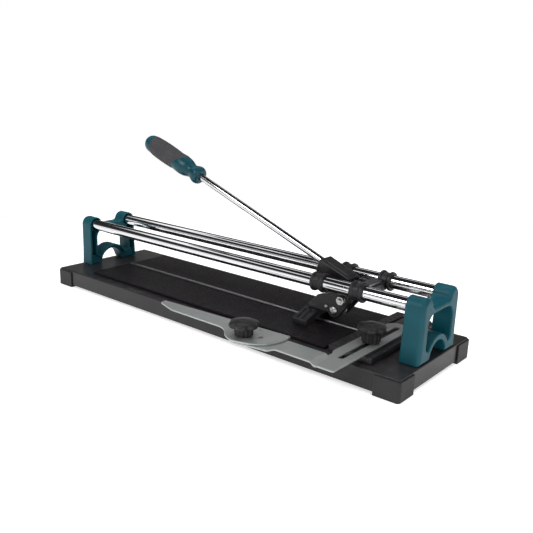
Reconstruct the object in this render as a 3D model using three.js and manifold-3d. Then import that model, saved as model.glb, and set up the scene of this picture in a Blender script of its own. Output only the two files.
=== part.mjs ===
// Manual tile cutter: a pressed steel base with a raised breaking rib, two cast end brackets,
// twin slide rails, and a carriage whose lever holds the scoring wheel and the breaker foot.
// Units are millimetres, +X runs along the rails, +Y points to the back and +Z is up.
import * as THREE from "three";
import { mergeVertices } from "three/addons/utils/BufferGeometryUtils.js";
import Module from "manifold-3d";

const wasm = await Module();
wasm.setup();

// ---- driving dimensions ----
const GAP = 0.3; // clearance between pieces that touch
const FIT = 0.3; // radial clearance of a shaft in its hole

const BASE = { length: 592, width: 172, top: 25.8, skirtBottom: 3.3, sheet: 2, corner: 2.5, capProud: 2 };
const CAP = { reach: 32, inner: 3, floor: 2.8, top: 23.6 };
const PAD = { x0: -228, x1: 192, y0: 3.5, y1: 70, top: 29.8, corner: 2 };
const RIB = { width: 3, foot: 6, footTop: 28.2, top: 31.3 };
const RAIL = { y: 31.5, z: 88.7, radius: 8, end: 288 };
const BRACKET = {
  outer: 294, // its outer face, flush with the deck's end
  depth: 23, // at the rails
  draft: 1.5, // how much deeper it is at the deck
  half: 43,
  footHalf: 44,
  humpRadius: 11.5,
  dipZ: 88,
  bevel: 2.4,
  wall: 2.7, // thickness of its shell
  face: 5, // thickness of its outer face
  socket: 15, // how far the rail's socket reaches in from the outer face
};
const WINDOW = { half: 30, top: 81, corner: 14, bottom: 44 };
const ARCH = { outer: 26.8, inner: 19.8, depth: 20 };
const BRACKET_SCREW = { y: 36, radius: 2.5, head: 4.5, headHeight: 3, depth: 10 };

const CARRIAGE_X = 181; // middle of the carriage along the rails
const BUSHING = { spread: 26.75, length: 15.8, flange: 11.6, flangeWidth: 3.4, waist: 9.9 };
const PIVOT = { x: 177, z: 68, radius: 4 };
const AXLE = { dx: -14, dz: -17.5, radius: 3 };
const WHEEL = { radius: 11, width: 2.6, hub: 5, hubHalf: 5.8 };
const CHEEK = { inner: 6.3, outer: 12.5 };
const EAR = { inner: 13.2, outer: 18.2 };
const HANDLE = { tilt: 20.6, offset: 19.2, rod: 4.5, rodStart: 9, rodEnd: 366 };
const SOCKET = { start: 4, end: 51, low: 9, high: 25.5, half: 12 };
const GRIP = { start: 275, sleeveStart: 324, sleeveEnd: 376, end: 391, neck: 9.5 };
const HOUSING_SCREW = { dx: -24.6, dz: -14.3, radius: 1.3, head: 2.3, depth: 4 };
const FOOT_SCREW = { dx: -45.5, radius: 2.5, head: 4.4 };
const FOOT = { x0: -57, x1: -36, half: 36.5, bottom: -37.8, tipTop: -30.4, ridge: -21.5, arch: -30 };

const FENCE = { x0: 198, x1: 253, y0: -72, y1: 83, top: 33.6, rulerWidth: 13, grooveWidth: 3, groove: 3.5 };
const PLATE = 2.1; // thickness of the guide and blade sheet
const GUIDE = { legX0: 216.5, legX1: 244, legFront: -131.5, legBack: 40, legTop: 36, armTop: 39 };
const SLOT = { x: 230, y0: -99, y1: 27, half: 3.4 };
const STUD = { y: -36, radius: 2.9 };
const SWIVEL = { x: 123.5, y: -130 }; // stud that the angle blade turns on
const BLADE_TOP = 41.4;
const KNOB = { radius: 17.6, lobes: 6, hub: 9, crown: 8, bore: 3.2, insert: 5.4 };
const INSERT_LENGTH = 9;
const FENCE_KNOB_HEIGHT = 21.4;
const ANGLE_KNOB_HEIGHT = 17.4;
const FRONT_REACH = -150; // how far the guide stands out in front of the base's middle

const ORIGIN_Y = -(BASE.width / 2 + FRONT_REACH) / 2; // puts the origin under the middle of the footprint

// ---- materials ----
function finish(color, roughness, metalness) {
  return new THREE.MeshStandardMaterial({ color, roughness, metalness });
}

const MATERIALS = {
  deck: finish(0x1b1b1d, 0.25, 0.3),
  cap: finish(0x39393b, 0.6, 0),
  pad: finish(0x1c1a1c, 0.85, 0),
  teal: finish(0x1f5f66, 0.4, 0.1),
  chrome: finish(0xd8d8dc, 0.12, 1),
  steel: finish(0x9a9a9c, 0.35, 1),
  casting: finish(0x232224, 0.45, 0.2),
  plastic: finish(0x2b2a2c, 0.5, 0),
  rubber: finish(0x48484a, 0.8, 0),
  plate: finish(0xa8a8a6, 0.35, 0.9),
};

// ---- solid helpers ----
function solidOf(geometry) {
  const bare = geometry.index ? geometry.toNonIndexed() : geometry.clone();
  for (const attribute of Object.keys(bare.attributes)) {
    if (attribute !== "position") bare.deleteAttribute(attribute);
  }
  const merged = mergeVertices(bare, 1e-4);
  const vertProperties = new Float32Array(merged.attributes.position.array);
  const triVerts = new Uint32Array(merged.index.array);
  return new wasm.Manifold(new wasm.Mesh({ numProp: 3, vertProperties, triVerts }));
}

function geometryOf(solid) {
  const { vertProperties, triVerts } = solid.getMesh();
  const geometry = new THREE.BufferGeometry();
  geometry.setAttribute("position", new THREE.BufferAttribute(new Float32Array(vertProperties), 3));
  geometry.setIndex(new THREE.BufferAttribute(new Uint32Array(triVerts), 1));
  geometry.computeVertexNormals();
  return geometry;
}

const span = (a, b) => [a, b].sort((p, q) => p - q);
const join = (first, ...rest) => rest.reduce((made, solid) => made.add(solid), first);
const cut = (first, ...rest) => rest.reduce((made, solid) => made.subtract(solid), first);

function block([x0, x1], [y0, y1], [z0, z1]) {
  const geometry = new THREE.BoxGeometry(x1 - x0, y1 - y0, z1 - z0);
  return solidOf(geometry.translate((x0 + x1) / 2, (y0 + y1) / 2, (z0 + z1) / 2));
}

// A cylinder from `from` to `to` along one axis, through the point `at`.
function cylinder(axis, radius, from, to, at = [0, 0, 0], sides = 24) {
  const geometry = new THREE.CylinderGeometry(radius, radius, to - from, sides);
  geometry.translate(0, (from + to) / 2, 0);
  if (axis === "x") geometry.rotateZ(-Math.PI / 2);
  if (axis === "z") geometry.rotateX(Math.PI / 2);
  return solidOf(geometry.translate(...at));
}

// An outline in the plane across `axis`, extruded from `from` to `to` along that axis.
// The outline's own axes are (Y, Z) for x, (X, Z) for y and (X, Y) for z.
function prism(axis, shape, from, to, bevel = 0, curveSegments = 10) {
  const options = { depth: to - from - 2 * bevel, curveSegments, steps: 1, bevelEnabled: bevel > 0 };
  if (bevel) {
    Object.assign(options, { bevelThickness: bevel, bevelSize: bevel });
    Object.assign(options, { bevelOffset: -bevel, bevelSegments: 1 });
  }
  const geometry = new THREE.ExtrudeGeometry(shape, options).translate(0, 0, from + bevel);
  if (axis === "x") geometry.rotateZ(Math.PI / 2).rotateY(Math.PI / 2);
  if (axis === "y") geometry.rotateX(Math.PI / 2).scale(1, -1, 1);
  return solidOf(axis === "y" ? flipped(geometry) : geometry);
}

// Turns every face round, after a mirroring scale.
function flipped(geometry) {
  const plain = geometry.index ? geometry.toNonIndexed() : geometry;
  const p = plain.attributes.position.array;
  for (let i = 0; i < p.length; i += 9) {
    for (let k = 0; k < 3; k++) [p[i + 3 + k], p[i + 6 + k]] = [p[i + 6 + k], p[i + 3 + k]];
  }
  return plain;
}

function roundedRectangle(x0, x1, y0, y1, radius, shape = new THREE.Shape()) {
  shape.moveTo(x0 + radius, y0).lineTo(x1 - radius, y0);
  shape.absarc(x1 - radius, y0 + radius, radius, -Math.PI / 2, 0).lineTo(x1, y1 - radius);
  shape.absarc(x1 - radius, y1 - radius, radius, 0, Math.PI / 2).lineTo(x0 + radius, y1);
  shape.absarc(x0 + radius, y1 - radius, radius, Math.PI / 2, Math.PI).lineTo(x0, y0 + radius);
  shape.absarc(x0 + radius, y0 + radius, radius, Math.PI, 1.5 * Math.PI);
  return shape;
}

function polygon(points) {
  const shape = new THREE.Shape();
  points.forEach(([a, b], i) => (i ? shape.lineTo(a, b) : shape.moveTo(a, b)));
  return shape;
}

// A solid of revolution about +Z, from a list of [radius, height] that starts and ends on the axis.
function turned(profile, sides = 28) {
  const points = profile.map(([r, z]) => new THREE.Vector2(r, z));
  return solidOf(new THREE.LatheGeometry(points, sides).rotateX(Math.PI / 2));
}

function hexagon(axis, acrossFlats, from, to, at) {
  return cylinder(axis, acrossFlats / Math.sqrt(3), from, to, at, 6);
}

function add(parent, name, solid, material, at = [0, 0, 0]) {
  const mesh = new THREE.Mesh(geometryOf(solid), material);
  mesh.name = name;
  mesh.position.set(...at);
  parent.add(mesh);
  return mesh;
}

function group(parent, at) {
  const made = new THREE.Group();
  made.position.set(...at);
  parent.add(made);
  return made;
}

const tileCutter = new THREE.Group();
const machine = group(tileCutter, [0, ORIGIN_Y, 0]); // everything below is measured from the base's middle

// ---- base: a folded sheet, made as its deck and its four skirts, and a cap on each corner ----
const halfLength = BASE.length / 2;
const halfWidth = BASE.width / 2;
const skirtX = halfLength - BASE.capProud;
const skirtY = halfWidth - BASE.capProud;

// A rounded rectangle as big as the skirt, grown or shrunk by `offset`.
function baseOutline(offset) {
  const x = skirtX + offset;
  const y = skirtY + offset;
  return roundedRectangle(-x, x, -y, y, Math.max(BASE.corner + offset, 0.6));
}

function bracketScrewSpots() {
  const x = BRACKET.outer - BRACKET.depth / 2;
  return [-x, x].flatMap((sx) => [-BRACKET_SCREW.y, BRACKET_SCREW.y].map((sy) => [sx, sy]));
}

const fenceScrewSpots = [-50, 60].map((y) => [246, y]);

const underDeck = BASE.top - BASE.sheet;

function deckPlate() {
  const holes = [...bracketScrewSpots(), ...fenceScrewSpots].map(([x, y]) =>
    cylinder("z", BRACKET_SCREW.radius + FIT, underDeck - 1, BASE.top + 1, [x, y, 0], 16),
  );
  return cut(prism("z", baseOutline(0), underDeck, BASE.top, 0, 4), ...holes);
}

// The part of the skirt that lies in one block of space.
function skirt(xs, ys) {
  const wall = cut(
    prism("z", baseOutline(0), BASE.skirtBottom, underDeck - GAP, 0, 4),
    prism("z", baseOutline(-BASE.sheet), BASE.skirtBottom - 1, BASE.top, 0, 4),
  );
  return wall.intersect(block(xs, ys, [0, BASE.top]));
}

// A moulded cap that wraps one corner of the skirt and carries the foot under it.
function cornerCap(signX, signY) {
  const outer = prism("z", baseOutline(BASE.capProud), 0, CAP.top, 0, 4);
  const slot = cut(
    prism("z", baseOutline(GAP), BASE.skirtBottom - GAP, CAP.top + 1, 0, 4),
    prism("z", baseOutline(-BASE.sheet - GAP), CAP.floor, CAP.top + 2, 0, 4),
  );
  const inside = prism("z", baseOutline(-BASE.sheet - GAP - CAP.inner), CAP.floor, CAP.top + 1, 0, 4);
  const underSheet = prism("z", baseOutline(-BASE.sheet), BASE.top - BASE.sheet - 4, CAP.top + 1, 0, 4);
  const xs = span((halfLength - CAP.reach) * signX, 400 * signX);
  const ys = span((halfWidth - CAP.reach) * signY, 400 * signY);
  return cut(outer, slot, inside, underSheet).intersect(block(xs, ys, [-1, 60]));
}

add(machine, "deck_plate", deckPlate(), MATERIALS.deck);
const insideY = skirtY - BASE.sheet;
const everyX = [-halfLength, halfLength];
const betweenSkirts = [-insideY + GAP, insideY - GAP];
add(machine, "front_skirt", skirt(everyX, [-halfWidth, -insideY]), MATERIALS.deck);
add(machine, "back_skirt", skirt(everyX, [insideY, halfWidth]), MATERIALS.deck);
add(machine, "left_skirt", skirt([-halfLength, 0], betweenSkirts), MATERIALS.deck);
add(machine, "right_skirt", skirt([0, halfLength], betweenSkirts), MATERIALS.deck);
for (const [side, signX] of [["left", -1], ["right", 1]]) {
  for (const [face, signY] of [["front", -1], ["back", 1]]) {
    add(machine, `foot_${face}_${side}`, cornerCap(signX, signY), MATERIALS.cap);
  }
}

// ---- tile bed: two pads and the breaking rib between them ----
function pad(sign) {
  const [y0, y1] = span(PAD.y0 * sign, PAD.y1 * sign);
  const outline = roundedRectangle(PAD.x0, PAD.x1, y0, y1, PAD.corner);
  return prism("z", outline, BASE.top + GAP, PAD.top, 0, 3);
}

function breakingRib() {
  const { width, foot, footTop, top } = RIB;
  const low = BASE.top + GAP;
  const tip = width / 6;
  const shoulder = top - 1;
  const section = polygon([
    [-foot / 2, low], [foot / 2, low], [foot / 2, footTop], [width / 2, footTop],
    [width / 2, shoulder], [tip, top], [-tip, top], [-width / 2, shoulder],
    [-width / 2, footTop], [-foot / 2, footTop],
  ]);
  return prism("x", section, PAD.x0, PAD.x1);
}

add(machine, "front_pad", pad(-1), MATERIALS.pad);
add(machine, "back_pad", pad(1), MATERIALS.pad);
add(machine, "breaking_rib", breakingRib(), MATERIALS.steel);

// ---- end brackets: moulded shells, open on the side that faces the bed ----
// Outline across the machine: a hump over each rail and a dip between them.
function bracketOutline() {
  const base = BASE.top + GAP;
  const { footHalf, half, humpRadius, dipZ } = BRACKET;
  const innerAngle = Math.PI - Math.asin((dipZ + 3 - RAIL.z) / humpRadius);
  const blendY = RAIL.y + Math.cos(innerAngle) * humpRadius;
  const shape = new THREE.Shape();
  shape.moveTo(-footHalf, base).lineTo(footHalf, base).lineTo(half, base + 24).lineTo(half, RAIL.z);
  shape.absarc(RAIL.y, RAIL.z, humpRadius, 0, innerAngle);
  shape.quadraticCurveTo(RAIL.y - humpRadius - 1, dipZ, RAIL.y - humpRadius - 5, dipZ);
  shape.lineTo(-RAIL.y + humpRadius + 5, dipZ);
  shape.quadraticCurveTo(-RAIL.y + humpRadius + 1, dipZ, -blendY, dipZ + 3);
  shape.absarc(-RAIL.y, RAIL.z, humpRadius, Math.PI - innerAngle, Math.PI);
  shape.lineTo(-half, base + 24);
  return shape;
}

// The window through the bracket, down to the round arch that ties the feet together.
// Grown by the shell's wall it is the outside of the tunnel round the window.
function bracketWindow(grow = 0) {
  const half = WINDOW.half + grow;
  const top = WINDOW.top + 2 * grow;
  const corner = WINDOW.corner + grow;
  const bottom = WINDOW.bottom - grow;
  const arch = ARCH.outer - grow;
  const start = 0.5;
  const archY = arch * Math.cos(start);
  const archZ = BASE.top + arch * Math.sin(start);
  const shape = new THREE.Shape();
  shape.moveTo(archY, archZ);
  shape.absarc(0, BASE.top, arch, start, Math.PI - start, false);
  shape.quadraticCurveTo(-half, bottom - 4, -half, bottom).lineTo(-half, top - corner);
  shape.absarc(-half + corner, top - corner, corner, Math.PI, Math.PI / 2, true);
  shape.lineTo(half - corner, top);
  shape.absarc(half - corner, top - corner, corner, Math.PI / 2, 0, true);
  shape.lineTo(half, bottom).quadraticCurveTo(half, bottom - 4, archY, archZ);
  return shape;
}

// The space inside the shell, around the window's tunnel, the rails' sockets, the arch and the
// screws' bosses.
function bracketHollow(sign) {
  const { outer, depth, wall, face, socket, half, humpRadius, dipZ } = BRACKET;
  const open = (outer - depth - 10) * sign;
  const back = (outer - face) * sign;
  const along = span(open, back);
  const room = roundedRectangle(-half + wall, half - wall, BASE.top - 10, dipZ - wall, 3);
  const tunnel = prism("x", bracketWindow(wall), ...span(open, outer * sign), 0, 7);
  const footSpan = span((outer - ARCH.depth) * sign, outer * sign);
  const barrel = cylinder("x", ARCH.outer, ...footSpan, [0, 0, BASE.top], 28);
  const sockets = [-RAIL.y, RAIL.y].map((y) =>
    cylinder("x", humpRadius, ...span((outer - socket) * sign, outer * sign), [0, y, RAIL.z], 32));
  const bosses = [-1, 1].map((s) =>
    block(footSpan, span(24 * s, 45 * s), [BASE.top, BASE.top + BRACKET_SCREW.depth + 3.5]));
  const hoods = [-RAIL.y, RAIL.y].map((y) =>
    cylinder("x", humpRadius - wall, ...span(open, (outer - socket) * sign), [0, y, RAIL.z], 32));
  const solids = [tunnel, barrel, ...sockets, ...bosses];
  return join(cut(prism("x", room, ...along, 0, 3), ...solids), ...hoods);
}

// One bracket; `sign` is +1 for the right end.
function endBracket(sign) {
  const { outer, depth, draft, bevel } = BRACKET;
  const inner = outer - depth;
  const [x0, x1] = span(outer * sign, (inner - draft) * sign);
  const beyond = inner - 20;
  const slope = polygon([
    [inner, 140], [inner, RAIL.z - 10], [inner - draft, BASE.top], [beyond, BASE.top], [beyond, 140],
  ].map(([x, z]) => [x * sign, z]));
  const screwSpots = bracketScrewSpots().filter(([x]) => x * sign > 0);
  const bores = [-RAIL.y, RAIL.y].map((y) => {
    const [from, to] = span((RAIL.end + GAP) * sign, (inner - 10) * sign);
    return cylinder("x", RAIL.radius + FIT, from, to, [0, y, RAIL.z], 32);
  });
  const screwHoles = screwSpots.map(([x, y]) =>
    cylinder("z", BRACKET_SCREW.radius + FIT, 20, BASE.top + BRACKET_SCREW.depth + 1, [x, y, 0], 12));
  return cut(
    prism("x", bracketOutline(), x0, x1, bevel, 7),
    prism("x", bracketWindow(), x0 - 1, x1 + 1, 0, 7),
    cylinder("x", ARCH.inner, x0 - 1, x1 + 1, [0, 0, BASE.top + GAP], 28),
    prism("y", slope, -80, 80),
    bracketHollow(sign),
    ...bores,
    ...screwHoles,
  );
}

add(machine, "left_bracket", endBracket(-1), MATERIALS.teal);
add(machine, "right_bracket", endBracket(1), MATERIALS.teal);

for (const [face, sign] of [["front", -1], ["back", 1]]) {
  const rail = cylinder("x", RAIL.radius, -RAIL.end, RAIL.end, [0, 0, 0], 32);
  add(machine, `${face}_rail`, rail, MATERIALS.chrome, [0, RAIL.y * sign, RAIL.z]);
}

// A pan-head screw that comes up through the deck, measured from the deck's underside.
function deckScrew(length) {
  const { radius, head, headHeight } = BRACKET_SCREW;
  return turned([
    [0, -headHeight - GAP], [head - 1, -headHeight - GAP], [head, -1.5], [head, -GAP],
    [radius, -GAP], [radius, length - 1], [radius - 1, length], [0, length],
  ], 12);
}

bracketScrewSpots().forEach(([x, y], i) => {
  const screw = deckScrew(BRACKET_SCREW.depth);
  add(machine, `bracket_screw_${i + 1}`, screw, MATERIALS.steel, [x, y, underDeck]);
});
fenceScrewSpots.forEach(([x, y], i) => {
  add(machine, `fence_screw_${i + 1}`, deckScrew(7), MATERIALS.steel, [x, y, underDeck]);
});

// ---- fence across the right end of the bed ----
function fenceBlock() {
  const { x0, x1, y0, y1, top, rulerWidth, grooveWidth, groove } = FENCE;
  const body = prism("z", roundedRectangle(x0, x1, y0, y1, 1.5), BASE.top + GAP, top, 0, 2);
  const rulerEdge = x0 + rulerWidth;
  const channel = block([rulerEdge, rulerEdge + grooveWidth], [y0 - 1, y1 + 1], [top - groove, top + 1]);
  const rulerSeat = block([x0 - 1, rulerEdge + 1], [y0 - 1, y1 + 1], [top - 1.5, top + 1]);
  const studHole = cylinder("z", STUD.radius + FIT, BASE.top + 1.4, top + 1, [SLOT.x, STUD.y, 0], 20);
  const screwHoles = fenceScrewSpots.map(([x, y]) =>
    cylinder("z", BRACKET_SCREW.radius + FIT, 20, underDeck + 7 + GAP, [x, y, 0], 16),
  );
  return cut(body, channel, rulerSeat, studHole, ...screwHoles);
}

function fenceRuler() {
  const { x0, y0, y1, top, rulerWidth } = FENCE;
  const low = top - 1.5 + GAP;
  const strip = block([x0, x0 + rulerWidth], [y0, y1], [low, top + 0.6]);
  const marks = [];
  for (let y = Math.ceil(y0 / 10) * 10; y <= y1 - 2; y += 10) {
    marks.push(cylinder("z", 1.1, top - 0.2, top + 2, [x0 + rulerWidth / 2 + 2, y, 0], 6));
  }
  return cut(strip, ...marks);
}

add(machine, "fence_block", fenceBlock(), MATERIALS.casting);
add(machine, "fence_ruler", fenceRuler(), MATERIALS.casting);

// ---- star knobs ----
function starOutline() {
  const steps = KNOB.lobes * 6;
  const points = [];
  for (let i = 0; i < steps; i++) {
    const angle = (i / steps) * 2 * Math.PI;
    const radius = KNOB.radius - 1.3 + 1.3 * Math.cos(KNOB.lobes * angle);
    points.push([radius * Math.cos(angle), radius * Math.sin(angle)]);
  }
  return polygon(points);
}

// The knob stands on z = 0, with a threaded insert pressed into its hub.
function knobBody(height) {
  const { radius, hub, crown, bore, insert } = KNOB;
  const under = height - crown;
  const star = prism("z", starOutline(), under, height - 1, 1.6);
  const dome = turned([
    [0, height - 4], [radius - 3.5, height - 4], [radius - 3.5, height - 1.4], [radius - 9, height - 0.3],
    [0, height],
  ], 20);
  const neck = turned([
    [0, 0], [hub - 0.6, 0], [hub, 0.8], [hub, under - 3], [radius - 5, under + 1.5], [0, under + 1.5],
  ], 20);
  return cut(
    join(star, dome, neck),
    cylinder("z", bore, -1, height - 4, [0, 0, 0], 16),
    cylinder("z", insert + GAP, -1, INSERT_LENGTH + GAP, [0, 0, 0], 16),
  );
}

function knobInsert() {
  return cut(
    cylinder("z", KNOB.insert, 0, INSERT_LENGTH, [0, 0, 0], 16),
    cylinder("z", KNOB.bore, -1, INSERT_LENGTH + 1, [0, 0, 0], 16),
  );
}

function addKnob(name, height, at) {
  const knob = group(machine, at);
  add(knob, name, knobBody(height), MATERIALS.plastic);
  add(knob, `${name}_insert`, knobInsert(), MATERIALS.steel);
}

const studLow = BASE.top + 1.4 + GAP;
const fenceStud = cylinder("z", STUD.radius, studLow, GUIDE.legTop + 15, [0, 0, 0], 16);
add(machine, "fence_stud", fenceStud, MATERIALS.steel, [SLOT.x, STUD.y, 0]);
addKnob("fence_knob", FENCE_KNOB_HEIGHT, [SLOT.x, STUD.y, GUIDE.legTop + GAP]);

// ---- rip guide: slotted leg on the fence, a joggle, and the arm that carries the angle blade ----
function ripGuide() {
  const { legX0, legX1, legFront, legBack, legTop, armTop } = GUIDE;
  const leg = polygon([
    [legX0, legFront], [legX1, legFront], [legX1, legBack - 6], [legX1 - 6, legBack],
    [legX0 + 4, legBack], [legX0 - 3.5, legBack - 9], [legX0 - 3.5, legFront + 45], [legX0, legFront + 40],
  ]);
  const slot = roundedRectangle(SLOT.x - SLOT.half, SLOT.x + SLOT.half, SLOT.y0, SLOT.y1, SLOT.half);
  const arm = new THREE.Shape();
  const armFront = legFront - 1.3;
  const armBack = legFront + 28;
  arm.moveTo(legX0 - 0.5, armFront).lineTo(169.5, armFront).lineTo(166, armFront - 9);
  arm.quadraticCurveTo(146, armFront - 11, 128, armFront - 16.5);
  arm.quadraticCurveTo(104, armFront - 12, 100, armFront + 9);
  arm.quadraticCurveTo(102, armBack - 2, 118, armBack).lineTo(legX0 - 0.5, armBack);
  const step = polygon([
    [legX0 - 1.5, armTop - PLATE], [legX0 - 1.5, armTop], [legX0 - 0.5, armTop],
    [legX0 + 4, legTop], [legX0 + 6, legTop], [legX0 + 6, legTop - PLATE], [legX0 + 3, legTop - PLATE],
  ]);
  return cut(
    join(
      prism("z", leg, legTop - PLATE, legTop),
      prism("z", arm, armTop - PLATE, armTop, 0, 6),
      prism("y", step, armFront, armBack),
    ),
    prism("z", slot, legTop - 6, legTop + 2, 0, 6),
    block([legX0 - 20, legX0 + 3], [armBack + 0.5, legFront + 60], [armTop - PLATE, armTop + 1]),
    cylinder("z", STUD.radius + FIT, armTop - 5, armTop + 2, [SWIVEL.x, SWIVEL.y, 0], 16),
  );
}

add(machine, "rip_guide", ripGuide(), MATERIALS.plate);

const studHead = GUIDE.armTop - PLATE - GAP;
add(machine, "swivel_stud", turned([[0, -2.4], [5.4, -2.4], [6, -1.6], [6, 0], [STUD.radius, 0],
  [STUD.radius, 17], [0, 17]], 16), MATERIALS.steel, [SWIVEL.x, SWIVEL.y, studHead]);

// ---- angle blade: a tapered straight edge with a rounded protractor lobe, in its own swivel frame ----
function angleBlade() {
  const shape = new THREE.Shape();
  shape.moveTo(-150, 20.5).lineTo(-149, 12).lineTo(-120, 2.5).lineTo(-39, 2.5);
  shape.quadraticCurveTo(-30, 1, -23, -7);
  shape.quadraticCurveTo(-12, -19, 2, FRONT_REACH - SWIVEL.y);
  shape.quadraticCurveTo(28, -15, 36.5, -1);
  shape.quadraticCurveTo(42, 12, 42.2, 23).lineTo(40, 33.5);
  const hole = cylinder("z", STUD.radius + FIT, -1, 4, [0, 0, 0], 16);
  const ticks = [];
  for (let i = -3; i <= 3; i++) {
    const angle = THREE.MathUtils.degToRad(i * 9);
    const spot = [22 * Math.cos(angle), 22 * Math.sin(angle), 0];
    ticks.push(cylinder("z", 0.9, PLATE - 0.7, PLATE + 1, spot, 6));
  }
  return cut(prism("z", shape, 0, PLATE, 0, 8), hole, ...ticks);
}

add(machine, "angle_blade", angleBlade(), MATERIALS.plate, [SWIVEL.x, SWIVEL.y, BLADE_TOP - PLATE]);
addKnob("angle_knob", ANGLE_KNOB_HEIGHT, [SWIVEL.x, SWIVEL.y, BLADE_TOP + GAP]);

// ---- carriage ----
const carriage = group(machine, [CARRIAGE_X, 0, 0]);

// A closed ring about +Z from a loop of [radius, height].
function ring(profile, sides) {
  const points = [...profile, profile[0]].map(([r, z]) => new THREE.Vector2(r, z));
  return new THREE.LatheGeometry(points, sides);
}

// A spool-shaped bushing about the rail's axis.
function bushing() {
  const { length, flange, flangeWidth, waist } = BUSHING;
  const half = length / 2;
  const bore = RAIL.radius + FIT;
  const profile = [
    [bore, -half], [flange - 0.8, -half], [flange, -half + 0.8], [flange, -half + flangeWidth],
    [waist, -half + flangeWidth + 1], [waist, half - flangeWidth - 1], [flange, half - flangeWidth],
    [flange, half - 0.8], [flange - 0.8, half], [bore, half],
  ];
  return solidOf(ring(profile, 24).rotateZ(-Math.PI / 2));
}

for (const [side, x] of [["left", -BUSHING.spread], ["right", BUSHING.spread]]) {
  for (const [face, y] of [["front", -RAIL.y], ["back", RAIL.y]]) {
    add(carriage, `bushing_${face}_${side}`, bushing(), MATERIALS.plastic, [x, y, RAIL.z]);
  }
}

const pivotX = PIVOT.x - CARRIAGE_X;

// Two side plates with saddles for the bushings and ears for the pivot bolt, tied by a bar at the right.
function carriageFrame() {
  const { spread, length, flangeWidth, flange, waist } = BUSHING;
  const neck = length / 2 - flangeWidth - 1 - GAP; // half the room between a bushing's flanges
  const sidePlates = [-1, 1].map((s) =>
    block([-spread - neck, spread + neck], span(EAR.inner * s, (EAR.outer + 2.5) * s), [79, 88.5]));
  const saddles = [-spread, spread].flatMap((x) => [-1, 1].map((s) =>
    block([x - neck, x + neck], span(EAR.inner * s, (RAIL.y - 5) * s), [79, 89.5])));
  const bar = block([spread - neck + 1, spread + neck], [-20, 20], [79, 89.3]);
  const ears = [-1, 1].map((s) => {
    const outline = new THREE.Shape();
    outline.moveTo(pivotX + 13, 80).lineTo(pivotX - 13, 80).lineTo(pivotX - 8, PIVOT.z);
    outline.absarc(pivotX, PIVOT.z, 8, Math.PI, 2 * Math.PI);
    return prism("y", outline, ...span(EAR.inner * s, EAR.outer * s), 0, 8);
  });
  const bushingRoom = [-spread, spread].flatMap((x) => [-RAIL.y, RAIL.y].flatMap((y) => [
    cylinder("x", waist + GAP, x - neck - 1, x + neck + 1, [0, y, RAIL.z], 24),
    cylinder("x", flange + GAP, x - length / 2 - 1, x - neck, [0, y, RAIL.z], 24),
    cylinder("x", flange + GAP, x + neck, x + length / 2 + 1, [0, y, RAIL.z], 24),
  ]));
  const railRoom = [-RAIL.y, RAIL.y].map((y) =>
    cylinder("x", RAIL.radius + 2 * FIT, -60, 60, [0, y, RAIL.z], 24));
  const bore = cylinder("y", PIVOT.radius + FIT, -30, 30, [pivotX, 0, PIVOT.z], 20);
  return cut(join(bar, ...sidePlates, ...saddles, ...ears), bore, ...bushingRoom, ...railRoom);
}

add(carriage, "carriage_frame", carriageFrame(), MATERIALS.casting);
add(carriage, "cross_strap", block([14.5, 27.5], [-18.5, 18.5], [89.6, 91.8]), MATERIALS.steel);

// The pivot bolt, with its head at the front, and its nut.
const pivotBolt = join(
  cylinder("y", PIVOT.radius, -EAR.outer - 1, EAR.outer + 5.5, [0, 0, 0], 20),
  hexagon("y", 10, -EAR.outer - GAP - 4, -EAR.outer - GAP, [0, 0, 0]),
);
add(carriage, "pivot_bolt", pivotBolt, MATERIALS.steel, [pivotX, 0, PIVOT.z]);
const pivotNut = cut(
  hexagon("y", 10, EAR.outer + GAP, EAR.outer + 5, [0, 0, 0]),
  cylinder("y", PIVOT.radius + FIT, EAR.outer - 1, EAR.outer + 7, [0, 0, 0], 20),
);
add(carriage, "pivot_nut", pivotNut, MATERIALS.steel, [pivotX, 0, PIVOT.z]);

// ---- lever: everything that turns about the pivot bolt ----
const lever = group(carriage, [pivotX, 0, PIVOT.z]);
const tilt = THREE.MathUtils.degToRad(HANDLE.tilt);
const handle = group(lever, [0, 0, 0]);
handle.rotation.y = tilt; // in this group the handle points along -X, HANDLE.offset above the pivot

// Turns a solid made along -X by the handle's tilt.
const tilted = (solid) => solid.rotate([0, HANDLE.tilt, 0]);

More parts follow.
